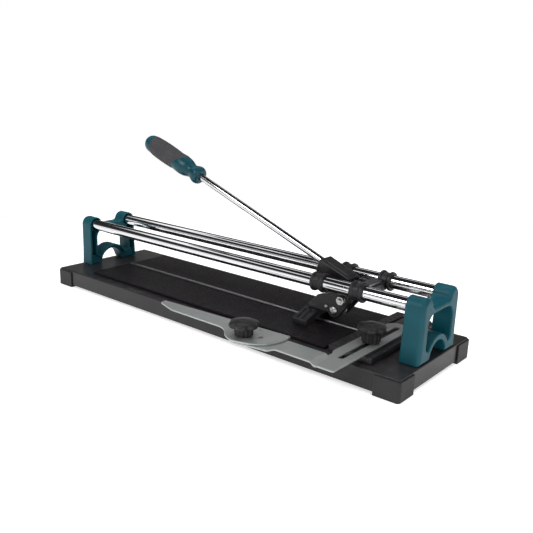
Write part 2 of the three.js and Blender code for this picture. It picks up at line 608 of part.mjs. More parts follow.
function leverCasting() {
  const { low, high, half } = SOCKET;
  const outline = roundedRectangle(-SOCKET.end, -SOCKET.start, low, high, 2);
  const socket = tilted(prism("y", outline, -half, half, 0, 3));
  const rodHole = tilted(cylinder("x", HANDLE.rod + FIT, -SOCKET.end - 5, -HANDLE.rodStart + GAP,
    [0, 0, HANDLE.offset], 20));
  const cheeks = [-1, 1].map((s) => {
    const plate = new THREE.Shape();
    plate.moveTo(8, 6).lineTo(10, 19).lineTo(-18, 22).lineTo(-21, 5);
    plate.quadraticCurveTo(-23, 1, -33, -0.5).lineTo(-39, -3).lineTo(FOOT.x0 + 5, FOOT.ridge + 4);
    plate.lineTo(FOOT.x0 + 5, FOOT.ridge + GAP).lineTo(FOOT.x1 - 3, FOOT.ridge + GAP);
    plate.quadraticCurveTo(-28, FOOT.ridge - 1, AXLE.dx - 7, AXLE.dz - 4);
    plate.absarc(AXLE.dx, AXLE.dz, 9.3, 1.15 * Math.PI, 1.8 * Math.PI).lineTo(7.5, -4.5);
    plate.absarc(0, 0, 8.7, -0.17 * Math.PI, 0.2 * Math.PI);
    return prism("y", plate, ...span(CHEEK.inner * s, CHEEK.outer * s), 0, 6);
  });
  const footBridge = block([FOOT.x0 + 5, FOOT.x1 - 3], [-CHEEK.outer, CHEEK.outer],
    [FOOT.ridge + GAP, FOOT.ridge + 5]);
  const wheelRoom = cylinder("y", WHEEL.radius + 1.2, -CHEEK.inner, CHEEK.inner, [AXLE.dx, 0, AXLE.dz], 32);
  return cut(
    join(socket, ...cheeks, footBridge),
    rodHole,
    wheelRoom,
    cylinder("y", PIVOT.radius + FIT, -30, 30, [0, 0, 0], 20),
    cylinder("y", AXLE.radius + FIT, -30, 30, [AXLE.dx, 0, AXLE.dz], 20),
    cylinder("y", HOUSING_SCREW.radius + FIT, -30, -CHEEK.outer + HOUSING_SCREW.depth + GAP,
      [HOUSING_SCREW.dx, 0, HOUSING_SCREW.dz], 12),
    cylinder("z", FOOT_SCREW.radius + FIT, FOOT.ridge - 5, FOOT.ridge + 30, [FOOT_SCREW.dx, 0, 0], 16),
  );
}

add(lever, "lever_block", leverCasting(), MATERIALS.casting);

// The breaker foot: a gull wing whose two tips press the tile down on each side of the rib.
function breakerFoot() {
  const { x0, x1, half, bottom, tipTop, ridge, arch } = FOOT;
  const wing = polygon([
    [-half, bottom], [-half + 7, bottom], [-7, arch], [7, arch], [half - 7, bottom], [half, bottom],
    [half, tipTop], [11, ridge], [-11, ridge], [-half, tipTop],
  ]);
  const screwHole = cylinder("z", FOOT_SCREW.radius + FIT, arch - 5, ridge + 5, [FOOT_SCREW.dx, 0, 0], 16);
  return cut(prism("x", wing, x0, x1, 0.8), screwHole);
}

add(lever, "breaker_foot", breakerFoot(), MATERIALS.plastic);
// Its screw, with the head in the well between the cheeks.
const screwSeat = FOOT.ridge + 5 + GAP;
const screwTip = FOOT.arch - 0.4;
const footScrew = turned([
  [0, screwTip], [FOOT_SCREW.radius, screwTip], [FOOT_SCREW.radius, screwSeat], [FOOT_SCREW.head, screwSeat],
  [FOOT_SCREW.head, screwSeat + 1.5], [3.2, screwSeat + 2.4], [0, screwSeat + 2.4],
], 16);
add(lever, "foot_screw", footScrew, MATERIALS.steel, [FOOT_SCREW.dx, 0, 0]);

// A small screw that closes the front cheek beside the axle.
const housingScrew = join(
  cylinder("y", HOUSING_SCREW.radius, -CHEEK.outer - 1, -CHEEK.outer + HOUSING_SCREW.depth, [0, 0, 0], 12),
  cylinder("y", HOUSING_SCREW.head, -CHEEK.outer - GAP - 1.6, -CHEEK.outer - GAP, [0, 0, 0], 16),
);
add(lever, "housing_screw", housingScrew, MATERIALS.steel, [HOUSING_SCREW.dx, 0, HOUSING_SCREW.dz]);

const axleScrew = join(
  cylinder("y", AXLE.radius, -CHEEK.outer - 1, CHEEK.outer + 4.5, [0, 0, 0], 20),
  cylinder("y", 5.4, -CHEEK.outer - GAP - 2.8, -CHEEK.outer - GAP, [0, 0, 0], 24),
);
add(lever, "axle_screw", axleScrew, MATERIALS.steel, [AXLE.dx, 0, AXLE.dz]);
const axleNut = cut(
  hexagon("y", 9, CHEEK.outer + GAP, CHEEK.outer + 4, [0, 0, 0]),
  cylinder("y", AXLE.radius + FIT, CHEEK.outer - 1, CHEEK.outer + 6, [0, 0, 0], 20),
);
add(lever, "axle_nut", axleNut, MATERIALS.steel, [AXLE.dx, 0, AXLE.dz]);

// The scoring wheel: a hub with a thin disc that is ground to an edge, running on the axle screw.
function scoringWheel() {
  const { radius, width, hub, hubHalf } = WHEEL;
  const bore = AXLE.radius + FIT;
  const profile = [
    [bore, -hubHalf], [hub, -hubHalf], [hub, -width / 2], [radius - 2.5, -width / 2], [radius, -0.15],
    [radius, 0.15], [radius - 2.5, width / 2], [hub, width / 2], [hub, hubHalf], [bore, hubHalf],
  ];
  return solidOf(ring(profile, 28));
}

add(lever, "scoring_wheel", scoringWheel(), MATERIALS.steel, [AXLE.dx, 0, AXLE.dz]);

// ---- handle: a chromed rod with a two-colour moulded grip ----
const alongHandle = (solid) => solid.rotate([0, -90, 0]).translate([0, 0, HANDLE.offset]);

const handleRod = cylinder("z", HANDLE.rod, HANDLE.rodStart, HANDLE.rodEnd, [0, 0, 0], 20);
add(handle, "handle_rod", alongHandle(handleRod), MATERIALS.chrome);

// The hard core of the grip: collar, waist, bulge, the neck under the sleeve and the rounded end.
function gripCore() {
  const { start, sleeveStart, sleeveEnd, end, neck } = GRIP;
  const outline = turned([
    [0, start], [8.5, start], [11, start + 1.5], [12.3, start + 5], [12.3, start + 8], [11, start + 12],
    [9.5, start + 16.5], [10.3, start + 21], [12.6, start + 28], [13.6, start + 35], [13.4, start + 42],
    [12.8, sleeveStart], [neck, sleeveStart], [neck, sleeveEnd], [12.9, sleeveEnd], [12.6, end - 12],
    [11.2, end - 6.5], [8, end - 2.4], [4, end - 0.5], [0, end],
  ], 24);
  return cut(outline, cylinder("z", HANDLE.rod + FIT, start - 1, HANDLE.rodEnd + GAP, [0, 0, 0], 20));
}

// The soft sleeve round the core's neck.
function gripSleeve() {
  const { sleeveStart, sleeveEnd, neck } = GRIP;
  const from = sleeveStart + GAP;
  const to = sleeveEnd - GAP;
  const profile = [
    [neck + GAP, from], [12.9, from], [13.6, from + 9], [14, from + 22], [13.7, from + 38], [13, to],
    [neck + GAP, to],
  ];
  return solidOf(ring(profile, 24).rotateX(Math.PI / 2));
}

add(handle, "grip_core", alongHandle(gripCore()), MATERIALS.teal);
add(handle, "grip_sleeve", alongHandle(gripSleeve()), MATERIALS.rubber);

export default tileCutter;
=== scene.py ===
# Looks of the manual tile cutter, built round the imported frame.
# Pieces are modelled in millimetres in the machine's own frame: X along the rails, Y to the back,
# Z up, with the origin under the middle of the base. `placed` turns that into the row frame.
from functools import reduce
from math import asin, cos, pi, radians, sin, sqrt

import bpy
import numpy as np
from mathutils import Matrix, Vector
from mathutils.geometry import tessellate_polygon


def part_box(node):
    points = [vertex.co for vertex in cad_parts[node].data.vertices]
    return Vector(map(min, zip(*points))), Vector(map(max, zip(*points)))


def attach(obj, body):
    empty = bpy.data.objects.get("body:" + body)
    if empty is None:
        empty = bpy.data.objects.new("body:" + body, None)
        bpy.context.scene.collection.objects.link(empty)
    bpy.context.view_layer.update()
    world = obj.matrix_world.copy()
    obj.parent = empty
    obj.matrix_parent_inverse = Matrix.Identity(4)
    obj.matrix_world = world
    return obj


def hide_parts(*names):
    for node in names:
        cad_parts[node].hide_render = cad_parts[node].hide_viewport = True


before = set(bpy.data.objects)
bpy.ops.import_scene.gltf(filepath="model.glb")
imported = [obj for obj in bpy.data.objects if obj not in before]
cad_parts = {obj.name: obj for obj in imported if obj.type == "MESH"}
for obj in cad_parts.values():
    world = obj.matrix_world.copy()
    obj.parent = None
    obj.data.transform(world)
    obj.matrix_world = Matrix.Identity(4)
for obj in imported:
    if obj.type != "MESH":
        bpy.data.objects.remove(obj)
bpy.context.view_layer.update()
scene = bpy.context.scene

MM = 0.001
base_low, base_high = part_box("deck_plate")
BASE_MIDDLE_Y = (base_low.y + base_high.y) / 2

# ---- dimensions, in millimetres, the same as the CAD model's ----
GAP = 0.3  # clearance between pieces that touch
DECK_TOP = 25.8
SHEET = 2.0
UNDER_DECK = DECK_TOP - SHEET - GAP
ON_DECK = DECK_TOP + GAP
SKIRT_X, SKIRT_Y = 294.0, 84.0
SKIRT_BOTTOM = 3.3
CORNER = 2.5
CAP_PROUD, CAP_TOP, CAP_REACH, CAP_WALL, CAP_FLOOR = 2.0, 23.6, 32.0, 3, 2.8
BED_X0, BED_X1, PAD_INNER, PAD_OUTER, PAD_TOP = -228, 192, 3.5, 70, 29.8
RAIL_Y, RAIL_Z, RAIL_R, RAIL_END = 31.5, 88.7, 8.0, 288.0
OUTER = 294.0  # the brackets' outer faces
BRACKET_FOOT, BRACKET_HALF, HUMP, DIP = 44, 43, 11.5, 88
BRACKET_DEPTH, DRAFT, SOCKET_DEPTH, FACE, WALL = 23, 1.5, 15, 5, 2.7
WINDOW_HALF, WINDOW_TOP, WINDOW_CORNER, WINDOW_BOTTOM = 30, 81, 14, 44
ARCH_OUTER, ARCH_INNER, ARCH_DEPTH = 26.8, 19.8, 20
BRACKET_SCREW_X, BRACKET_SCREW_Y = 282.5, 36
CARRIAGE_X = 181.0
BUSH_X, BUSH_HALF, FLANGE, FLANGE_WIDTH, WAIST, BUSH_BORE = 26.75, 7.9, 11.6, 3.4, 9.9, 8.3
EAR_INNER, EAR_OUTER = 13.2, 18.2
PIVOT_X, PIVOT_Z = 177.0, 68.0
PIVOT_DX = PIVOT_X - CARRIAGE_X
PIVOT_HOLE = 4.3
AXLE_X, AXLE_Z, AXLE_HOLE = -14.0, -17.5, 3.3  # from the pivot, as is all of the lever
CHEEK_INNER, CHEEK_OUTER = 6.3, 12.5
HOUSING_SCREW_X, HOUSING_SCREW_Z = -24.6, -14.3
FOOT_X0, FOOT_X1, RIDGE = -57.0, -36.0, -21.5
FOOT_HALF, FOOT_BOTTOM, FOOT_TIP, FOOT_ARCH = 36.5, -37.8, -30.4, -30.0
FOOT_SCREW_X, FOOT_SCREW_HOLE = -45.5, 2.8
TILT = radians(20.6)
ROD_OFFSET, ROD_R, ROD_START, ROD_END = 19.2, 4.5, 9, 366
FENCE_X0, FENCE_X1, FENCE_Y0, FENCE_Y1, FENCE_TOP = 198.0, 253.0, -72.0, 83.0, 33.6
RULER_WIDTH, GROOVE_WIDTH, GROOVE_DEPTH = 13, 3, 3.5
FENCE_SCREW_X, FENCE_SCREWS_Y = 246, (-50, 60)
LEG_TOP, ARM_TOP, PLATE = 36.0, 39.0, 2.1
LEG_X0, LEG_X1, LEG_FRONT, LEG_BACK = 216.5, 244.0, -131.5, 40.0
ARM_FRONT, ARM_BACK = LEG_FRONT - 1.3, LEG_FRONT + 28
SLOT_X, SLOT_REACH, SLOT_HALF, STUD_Y, STUD_R = 230.0, 59.6, 3.4, -36.0, 2.9
SWIVEL_X, SWIVEL_Y, SWIVEL_HOLE = 123.5, -130.0, 3.2
BLADE_TOP = 41.4
KNOB_R, KNOB_BORE, INSERT_R, INSERT_END = 17.6, 3.2, 5.4, 9
SIDES = (("left", -1), ("right", 1))
FACES = (("front", -1), ("back", 1))


# ---- outlines in a plane ----
def arc(cx, cy, r, start, end, n):
    angles = np.linspace(start, end, n + 1)
    return [(cx + r * cos(a), cy + r * sin(a)) for a in angles]


def bend(a, control, b, n=8):
    """Points after `a` on the curve that leaves it towards `control` and ends at `b`."""
    made = []
    for i in range(1, n + 1):
        t = i / n
        made.append(tuple((1 - t) ** 2 * a[k] + 2 * t * (1 - t) * control[k] + t * t * b[k] for k in (0, 1)))
    return made


def rounded(points, radius, n=5, closed=True):
    """Rounds each corner of an outline. `radius` is one number, or one per point."""
    count = len(points)
    radii = radius if hasattr(radius, "__len__") else [radius] * count
    made = []
    for i, (p, r) in enumerate(zip(points, radii)):
        p = np.array(p, float)
        if r <= 0 or (not closed and i in (0, count - 1)):
            made.append(tuple(p))
            continue
        before = np.array(points[i - 1], float) - p
        after = np.array(points[(i + 1) % count], float) - p
        lb, la = np.linalg.norm(before), np.linalg.norm(after)
        d = min(r, 0.48 * lb, 0.48 * la)
        start, end = p + before / lb * d, p + after / la * d
        made.append(tuple(start))
        made.extend(bend(start, p, end, n))
    return made


def rectangle(x0, x1, y0, y1, r, n=6):
    return rounded([(x0, y0), (x1, y0), (x1, y1), (x0, y1)], r, n)


def circle(cx, cy, r, n=32):
    return arc(cx, cy, r, 0, 2 * pi, n)[:-1]


# ---- meshes ----
def placed(points, matrix=None):
    """Millimetres in the machine's frame, after `matrix`, to metres in the row frame."""
    p = np.asarray(points, float).reshape(-1, 3)
    if matrix is not None:
        m = np.array(matrix)
        p = p @ m[:3, :3].T + m[:3, 3]
    return p * MM + np.array([0, BASE_MIDDLE_Y, 0])


def mesh_of(points, faces, normals=None):
    """A mesh from points and a list of faces, or from an array of quads."""
    mesh = bpy.data.meshes.new("mesh")
    if isinstance(faces, np.ndarray):
        mesh.vertices.add(len(points))
        mesh.vertices.foreach_set("co", np.asarray(points, np.float32).ravel())
        mesh.loops.add(faces.size)
        mesh.loops.foreach_set("vertex_index", faces.astype(np.int32).ravel())
        mesh.polygons.add(len(faces))
        mesh.polygons.foreach_set("loop_start", np.arange(0, faces.size, faces.shape[1], dtype=np.int32))
        mesh.update(calc_edges=True)
    else:
        mesh.from_pydata([tuple(p) for p in points], [], faces)
    mesh.validate()
    mesh.shade_smooth()
    if normals is not None:
        mesh.normals_split_custom_set_from_vertices([tuple(n) for n in normals])
    return mesh


def add_object(name, data):
    obj = bpy.data.objects.new(name, data)
    scene.collection.objects.link(obj)
    return obj


def piece(name, mesh, body, slot_name, material, *nodes):
    mesh.name = name
    mesh.materials.append(material)
    obj = add_object(name, mesh)
    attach(obj, body)
    if nodes:
        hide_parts(*nodes)


def around(ring):
    """Each item of a closed ring with the next one."""
    return list(zip(ring, ring[1:] + ring[:1]))


def band(low, high):
    """Quads between two rings of point numbers."""
    return [(a, b, d, c) for (a, b), (c, d) in zip(around(low), around(high))]


def unit(vectors):
    return vectors / (np.linalg.norm(vectors, axis=1)[:, None] + 1e-20)


def carved(shape, matrix=None):
    """A mesh from the points and quads of a distance field's surface."""
    points, quads = shape
    return mesh_of(placed(points, matrix), quads)


def mirrored(shape, sign_x, sign_y=1):
    points, quads = shape
    return points * (sign_x, sign_y, 1), quads if sign_x * sign_y > 0 else quads[:, ::-1]


AXES = {
    "x": Matrix(((0, 0, 1, 0), (1, 0, 0, 0), (0, 1, 0, 0), (0, 0, 0, 1))),
    "y": Matrix(((0, 1, 0, 0), (0, 0, 1, 0), (1, 0, 0, 0), (0, 0, 0, 1))),
    "z": Matrix.Identity(4),
}


def at(x, y, z, axis="z"):
    """A shape made about +Z, laid along `axis` with its origin at (x, y, z)."""
    return Matrix.Translation((x, y, z)) @ AXES[axis]


def turned(profile, matrix, segments=72, closed=False):
    """A solid of revolution about +Z from [radius, height] points, with normals that keep flats flat."""
    pts = np.array(profile, float)
    n = len(pts)
    edge = np.roll(pts, -1, axis=0) - pts
    if not closed:
        edge[-1] = edge[-2]
    length = np.linalg.norm(edge, axis=1) + 1e-9
    face = np.stack([edge[:, 1], -edge[:, 0]], 1) / length[:, None]
    weight = length ** 2
    normal = face * weight[:, None] + np.roll(face * weight[:, None], 1, axis=0)
    if not closed:
        normal[0] = face[0]
        normal[-1] = face[-2]
    normal = unit(normal)
    angles = np.arange(segments) * 2 * pi / segments
    points, normals, rings = [], [], []
    for (r, z), (nr, nz) in zip(pts, normal):
        if r < 1e-6:
            rings.append([len(points)])
            points.append((0, 0, z))
            normals.append((0, 0, 1 if nz > 0 else -1))
            continue
        rings.append(list(range(len(points), len(points) + segments)))
        for a in angles:
            points.append((r * cos(a), r * sin(a), z))
            normals.append((nr * cos(a), nr * sin(a), nz))
    faces = []
    pairs = list(zip(rings, rings[1:])) + ([(rings[-1], rings[0])] if closed else [])
    for low, high in pairs:
        if len(low) == 1:
            faces += [(low[0], b, a) for a, b in around(high)]
        elif len(high) == 1:
            faces += [(a, b, high[0]) for a, b in around(low)]
        else:
            faces += band(low, high)
    rotation = np.array(matrix)[:3, :3]
    return mesh_of(placed(points, matrix), faces, np.array(normals) @ rotation.T)


def slab(outlines, z0, z1, edge, matrix=None, n=3):
    """A plate between two heights with rounded edges: its rim's outline, then its holes'."""
    points, normals, loops_low, loops_high, faces = [], [], [], [], []
    for k, outline in enumerate(outlines):
        p = np.array(outline, float)
        area = np.sum(p[:, 0] * np.roll(p[:, 1], -1) - np.roll(p[:, 0], -1) * p[:, 1])
        if (area > 0) != (k == 0):
            p = p[::-1]
        ahead = unit(np.roll(p, -1, axis=0) - p)
        out = np.stack([ahead[:, 1], -ahead[:, 0]], 1)
        mitre = unit(out + np.roll(out, 1, axis=0))
        grow = 1 / np.clip(np.sum(mitre * out, axis=1), 0.5, 1)
        steps = [pi / 2 * i / n for i in range(n + 1)]
        levels = [(edge * (1 - sin(a)), z0 + edge * (1 - cos(a)), a, -1) for a in steps]
        levels += [(edge * (1 - sin(a)), z1 - edge * (1 - cos(a)), a, 1) for a in reversed(steps)]
        rings = []
        for inset, z, a, side in levels:
            rings.append(list(range(len(points), len(points) + len(p))))
            moved = p - mitre * (grow * inset)[:, None]
            points.extend((x, y, z) for x, y in moved)
            normals.extend((m[0] * sin(a), m[1] * sin(a), side * cos(a)) for m in mitre)
        for low, high in zip(rings, rings[1:]):
            faces += band(low, high)
        loops_low.append(rings[0])
        loops_high.append(rings[-1])
    for loops, flip in ((loops_low, True), (loops_high, False)):
        flat = [i for loop in loops for i in loop]
        for tri in tessellate_polygon([[Vector(points[i]) for i in loop] for loop in loops]):
            corners = [flat[t] for t in tri]
            a, b, c = (np.array(points[i][:2]) for i in corners)
            up = (b[0] - a[0]) * (c[1] - a[1]) - (b[1] - a[1]) * (c[0] - a[0]) > 0
            faces.append(tuple(corners if up != flip else corners[::-1]))
    normals = np.array(normals)
    if matrix is not None:
        normals = normals @ np.array(matrix)[:3, :3].T
    return mesh_of(placed(points, matrix), faces, normals)


# ---- moulded and cast shapes: a distance field, negative inside, then its zero surface ----
class Space:
    """A grid over a box, in millimetres."""

    def __init__(self, low, high, step):
        self.step = step
        self.low = np.array(low, float) - 2.37 * step
        counts = np.ceil((np.array(high, float) + 2.4 * step - self.low) / step).astype(int) + 1
        self.x, self.y, self.z = np.ix_(*(low + step * np.arange(n) for low, n in zip(self.low, counts)))
        self.shape = tuple(counts)

    def surface(self, field):
        """Points and quads where the field is zero."""
        f = np.ascontiguousarray(np.broadcast_to(field, self.shape), np.float32)
        cells = tuple(n - 1 for n in self.shape)
        total = np.zeros((3, int(np.prod(cells))))
        count = np.zeros(int(np.prod(cells)))
        quads = []
        for axis in range(3):
            u, v = (axis + 1) % 3, (axis + 2) % 3
            a, b = np.delete(f, -1, axis), np.delete(f, 0, axis)
            spots = np.argwhere((a < 0) != (b < 0))
            va, vb = a[tuple(spots.T)], b[tuple(spots.T)]
            where = spots.astype(float)
            where[:, axis] += va / (va - vb)
            corners = []
            for du, dv in ((1, 1), (0, 1), (0, 0), (1, 0)):
                cell = spots.copy()
                cell[:, u] -= du
                cell[:, v] -= dv
                flat = np.ravel_multi_index(tuple(np.clip(cell, 0, np.array(cells) - 1).T), cells)
                for k in range(3):
                    total[k] += np.bincount(flat, where[:, k], len(count))
                count += np.bincount(flat, minlength=len(count))
                corners.append(flat)
            quad = np.stack(corners, 1)
            quad[va >= 0] = quad[va >= 0][:, ::-1]
            quads.append(quad)
        used = np.flatnonzero(count)
        number = np.full(len(count), -1)
        number[used] = np.arange(len(used))
        points = (total[:, used] / count[used]).T * self.step + self.low
        return points, number[np.concatenate(quads)]


def meet(*fields):
    """What the fields share, with sharp edges."""
    return reduce(np.maximum, fields)


def join(*fields):
    """The fields together, with sharp edges."""
    return reduce(np.minimum, fields)


def both(a, b, r):
    """What two fields share, with the edge between them rounded to radius r."""
    return np.minimum(np.maximum(a, b), -r) + np.hypot(np.maximum(a + r, 0), np.maximum(b + r, 0))


def either(a, b, r):
    """Two fields together, with a fillet of radius r between them."""
    return np.maximum(np.minimum(a, b), r) - np.hypot(np.maximum(r - a, 0), np.maximum(r - b, 0))


def without(a, b, r):
    return both(a, -b, r)


def slab_field(t, low, high):
    return meet(low - t, t - high)


def box_field(s, xs, ys, zs, r):
    a = both(slab_field(s.x, *xs), slab_field(s.y, *ys), r)
    return both(a, slab_field(s.z, *zs), r)


def round_field(p, q, centre, radius):
    return np.hypot(p - centre[0], q - centre[1]) - radius


def outline_field(points, p, q):
    """Signed distance in a plane from a closed outline."""
    p, q = np.broadcast_arrays(p, q)
    best = np.full(p.shape, 1e9)
    odd = np.zeros(p.shape, bool)
    for (ax, ay), (bx, by) in around(points):
        ex, ey = bx - ax, by - ay
        if ex * ex + ey * ey < 1e-12:
            continue
        wx, wy = p - ax, q - ay
        t = np.clip((wx * ex + wy * ey) / (ex * ex + ey * ey), 0, 1)
        best = np.minimum(best, (wx - ex * t) ** 2 + (wy - ey * t) ** 2)
        if ey:
            odd ^= ((ay > q) != (by > q)) & (p < ex * (q - ay) / ey + ax)
    return np.where(odd, -1, 1) * np.sqrt(best)


# ---- materials ----
def feed(tree, node, inputs):
    """Gives sockets, by name or number, a value or another node's output. None leaves one as it is."""
    for socket, value in inputs.items():
        if isinstance(value, bpy.types.NodeSocket):
            tree.links.new(value, node.inputs[socket])
        elif value is not None:
            node.inputs[socket].default_value = value


def add_node(tree, kind, inputs, **settings):
    made = tree.nodes.new(kind)
    for key, value in settings.items():
        setattr(made, key, value)
    feed(tree, made, inputs)
    return made


class Finish:
    """A procedural material: helpers that add nodes to one Principled shader."""

    def __init__(self, name, metallic=0.0, coat=0.0, specular=0.5):
        self.material = bpy.data.materials.new(name)
        self.material.use_nodes = True
        self.tree = self.material.node_tree
        self.shader = self.tree.nodes["Principled BSDF"]
        feed(self.tree, self.shader, {"Metallic": metallic, "Coat Weight": coat, "Coat Roughness": 0.12,
                                      "Specular IOR Level": specular})
        self.coordinates = self.node("ShaderNodeTexCoord", {}).outputs["Object"]

    def node(self, kind, inputs, **settings):
        return add_node(self.tree, kind, inputs, **settings)

    def noise(self, scale, detail, roughness=0.55, stretch=(1, 1, 1)):
        """Noise with about `scale` lumps per metre."""
        mapping = self.node("ShaderNodeMapping", {"Vector": self.coordinates, "Scale": stretch})
        inputs = {"Vector": mapping.outputs[0], "Scale": scale, "Detail": detail, "Roughness": roughness}
        return self.node("ShaderNodeTexNoise", inputs).outputs["Fac"]

    def pits(self, scale):
        inputs = {"Vector": self.coordinates, "Scale": scale}
        return self.node("ShaderNodeTexVoronoi", inputs).outputs["Distance"]

    def range(self, value, low, high, to_low=0.0, to_high=1.0):
        inputs = {"Value": value, "From Min": low, "From Max": high, "To Min": to_low, "To Max": to_high}
        return self.node("ShaderNodeMapRange", inputs).outputs["Result"]

    def math(self, operation, a, b):
        return self.node("ShaderNodeMath", {0: a, 1: b}, operation=operation).outputs[0]

    def mix(self, factor, a, b):
        a, b = ((*v, 1) if isinstance(v, tuple) else v for v in (a, b))
        return self.node("ShaderNodeMix", {"Factor": factor, 6: a, 7: b}, data_type="RGBA").outputs[2]

    def over(self, base, color, mask, amount):
        """The colour laid over the base where the mask is high."""
        return self.mix(self.math("MULTIPLY", mask, amount), base, color)

    def mottled(self, color, scale, dark, light, detail=4, roughness=0.55):
        """The colour, a little darker and lighter in soft patches."""
        tone = self.range(self.noise(scale, detail, roughness), 0.3, 0.7)
        return self.mix(tone, shade(color, dark), shade(color, light))

    def edges(self, radius=0.0009):
        """1 along rounded edges, 0 on the flats: the mask for edge wear and for painted edge highlights."""
        bevel = self.node("ShaderNodeBevel", {"Radius": radius}, samples=6).outputs[0]
        flat = self.node("ShaderNodeNewGeometry", {}).outputs["True Normal"]
        dot = self.node("ShaderNodeVectorMath", {0: bevel, 1: flat}, operation="DOT_PRODUCT")
        return self.range(self.math("SUBTRACT", 1.0, dot.outputs["Value"]), 0.03, 0.35)

    def dusty(self, base, amount, color):
        """A little settled dust on faces that look up."""
        normal = self.node("ShaderNodeNewGeometry", {}).outputs["Normal"]
        apart = self.node("ShaderNodeSeparateXYZ", {0: normal})
        up = self.range(apart.outputs["Z"], 0.6, 1.0)
        patches = self.range(self.noise(90, 5, 0.6), 0.45, 0.8)
        return self.over(base, color, self.math("MULTIPLY", up, patches), amount)

    def bump(self, height, strength, distance, under=None):
        inputs = {"Height": height, "Strength": strength, "Distance": distance, "Normal": under}
        return self.node("ShaderNodeBump", inputs).outputs["Normal"]

    def grain(self, pits, depth, height, lumps, lump_depth, lump_height):
        """Fine pits with soft lumps over them."""
        fine = self.bump(self.pits(pits), depth, height)
        return self.bump(self.noise(lumps, 2), lump_depth, lump_height, fine)

    def done(self, color, roughness, normal=None):
        feed(self.tree, self.shader, {"Base Color": color, "Roughness": roughness, "Normal": normal})
        return self.material


def shade(color, k):
    return tuple(min(1, c * k) for c in color)


def enamel(name, color, edge_wear_and_highlight_color, rough, peel, coat, specular=0.5):
    f = Finish(name, coat=coat, specular=specular)
    base = f.mottled(color, 35, 0.86, 1.12)
    # Edges take a lighter colour in patches: partly edge wear, partly a painted highlight along the edges
    # and the deck's fold.
    edge_wear_and_highlight = f.math("MULTIPLY", f.edges(), f.range(f.noise(420, 3), 0.35, 0.7))
    base = f.over(base, edge_wear_and_highlight_color, edge_wear_and_highlight, 0.55)
    base = f.dusty(base, 0.1, (0.25, 0.24, 0.23))
    roughness = f.range(f.noise(150, 4, 0.65), 0.3, 0.75, *rough)
    fine = f.bump(f.noise(1100, 2), peel, 0.00006)
    normal = f.bump(f.noise(200, 2), peel, 0.0002, fine)
    return f.done(base, roughness, normal)


def moulding(name, color, rough, grain=1500, depth=0.35, painted_edge_highlight=1.9, specular=0.45):
    f = Finish(name, specular=specular)
    base = f.mottled(color, 60, 0.85, 1.15)
    # Painted highlight: the colour is made lighter along the rounded edges.
    base = f.over(base, shade(color, painted_edge_highlight), f.edges(0.0006), 0.5)
    base = f.dusty(base, 0.12, (0.3, 0.29, 0.28))
    roughness = f.range(f.noise(240, 4, 0.6), 0.3, 0.75, *rough)
    return f.done(base, roughness, f.grain(grain, depth, 0.00008, 180, 0.08, 0.0003))


def metal(name, color, rough, stretch, grain, depth, stain_and_reflection_tint=None, stain_and_reflection_amount=0.35, metallic=1.0):
    f = Finish(name, metallic=metallic)
    tone = f.range(f.noise(48, 5, 0.6), 0.32, 0.72)
    # Random patches of the tint colour: a stain on most metals, and on the sheet steel a painted teal
    # reflection.
    base = f.over(color, stain_and_reflection_tint or shade(color, 0.82), tone, stain_and_reflection_amount)
    grind = f.noise(grain, 4, 0.7, stretch)
    base = f.mix(f.range(grind, 0.25, 0.75, 0.0, 0.22), base, shade(color, 0.6))
    # Painted highlight: a lighter colour along the rounded edges.
    base = f.over(base, shade(color, 1.35), f.edges(0.0005), 0.6)
    smears = f.range(f.noise(75, 4), 0.4, 0.8, 0.0, 0.07)
    roughness = f.math("ADD", f.range(grind, 0.2, 0.8, *rough), smears)
    return f.done(base, roughness, f.bump(grind, depth, 0.00004))


def chrome(name):
    f = Finish(name, metallic=1.0)
    haze = f.range(f.noise(55, 5, 0.65, (0.35, 1, 1)), 0.35, 0.8)
    base = f.mix(haze, (0.86, 0.86, 0.88), (0.76, 0.76, 0.79))
    scratch = f.noise(700, 3, 0.7, (0.02, 1, 1))
    roughness = f.math("ADD", f.range(scratch, 0.35, 0.8, 0.05, 0.065), f.math("MULTIPLY", haze, 0.02))
    return f.done(base, roughness)


def foam(name, color):
    f = Finish(name, specular=0.16)
    base = f.mottled(color, 30, 0.88, 1.15, 5, 0.6)
    base = f.dusty(base, 0.05, (0.22, 0.21, 0.2))
    roughness = f.range(f.noise(300, 4, 0.6), 0.3, 0.7, 0.42, 0.62)
    return f.done(base, roughness, f.grain(1300, 0.2, 0.00006, 500, 0.1, 0.0001))


def rubber(name, color):
    f = Finish(name, specular=0.35)
    base = f.mottled(color, 80, 0.9, 1.1)
    roughness = f.range(f.noise(260, 4), 0.3, 0.7, 0.6, 0.78)
    return f.done(base, roughness, f.grain(2000, 0.25, 0.0001, 600, 0.08, 0.0001))


DECK = enamel("deck_enamel", (0.02, 0.0185, 0.0198), (0.09, 0.088, 0.09), (0.27, 0.33), 0.02, 0.1, 0.28)
TEAL = enamel("teal_enamel", (0.003, 0.073, 0.098), (0.03, 0.15, 0.18), (0.4, 0.5), 0.06, 0.0, 0.27)
CASTING = enamel("casting_enamel", (0.012, 0.0105, 0.012), (0.08, 0.075, 0.08), (0.34, 0.5), 0.2, 0.1)
CAP = moulding("cap_moulding", (0.022, 0.0215, 0.023), (0.45, 0.6), specular=0.3)
BLACK = moulding("black_moulding", (0.014, 0.0125, 0.014), (0.34, 0.5), 1900, 0.2, 3.0)
KNOB = moulding("knob_moulding", (0.0145, 0.0135, 0.0145), (0.4, 0.55), 1900, 0.3, 2.6)
PAD = foam("pad_foam", (0.0085, 0.007, 0.0085))
CHROME = chrome("rail_chrome")
ZINC = metal("zinc_steel", (0.62, 0.62, 0.61), (0.22, 0.38), (1, 1, 1), 1500, 0.15, (0.5, 0.52, 0.5))
RIB = metal("rib_steel", (0.4, 0.4, 0.41), (0.24, 0.4), (0.03, 1, 1), 1600, 0.2)
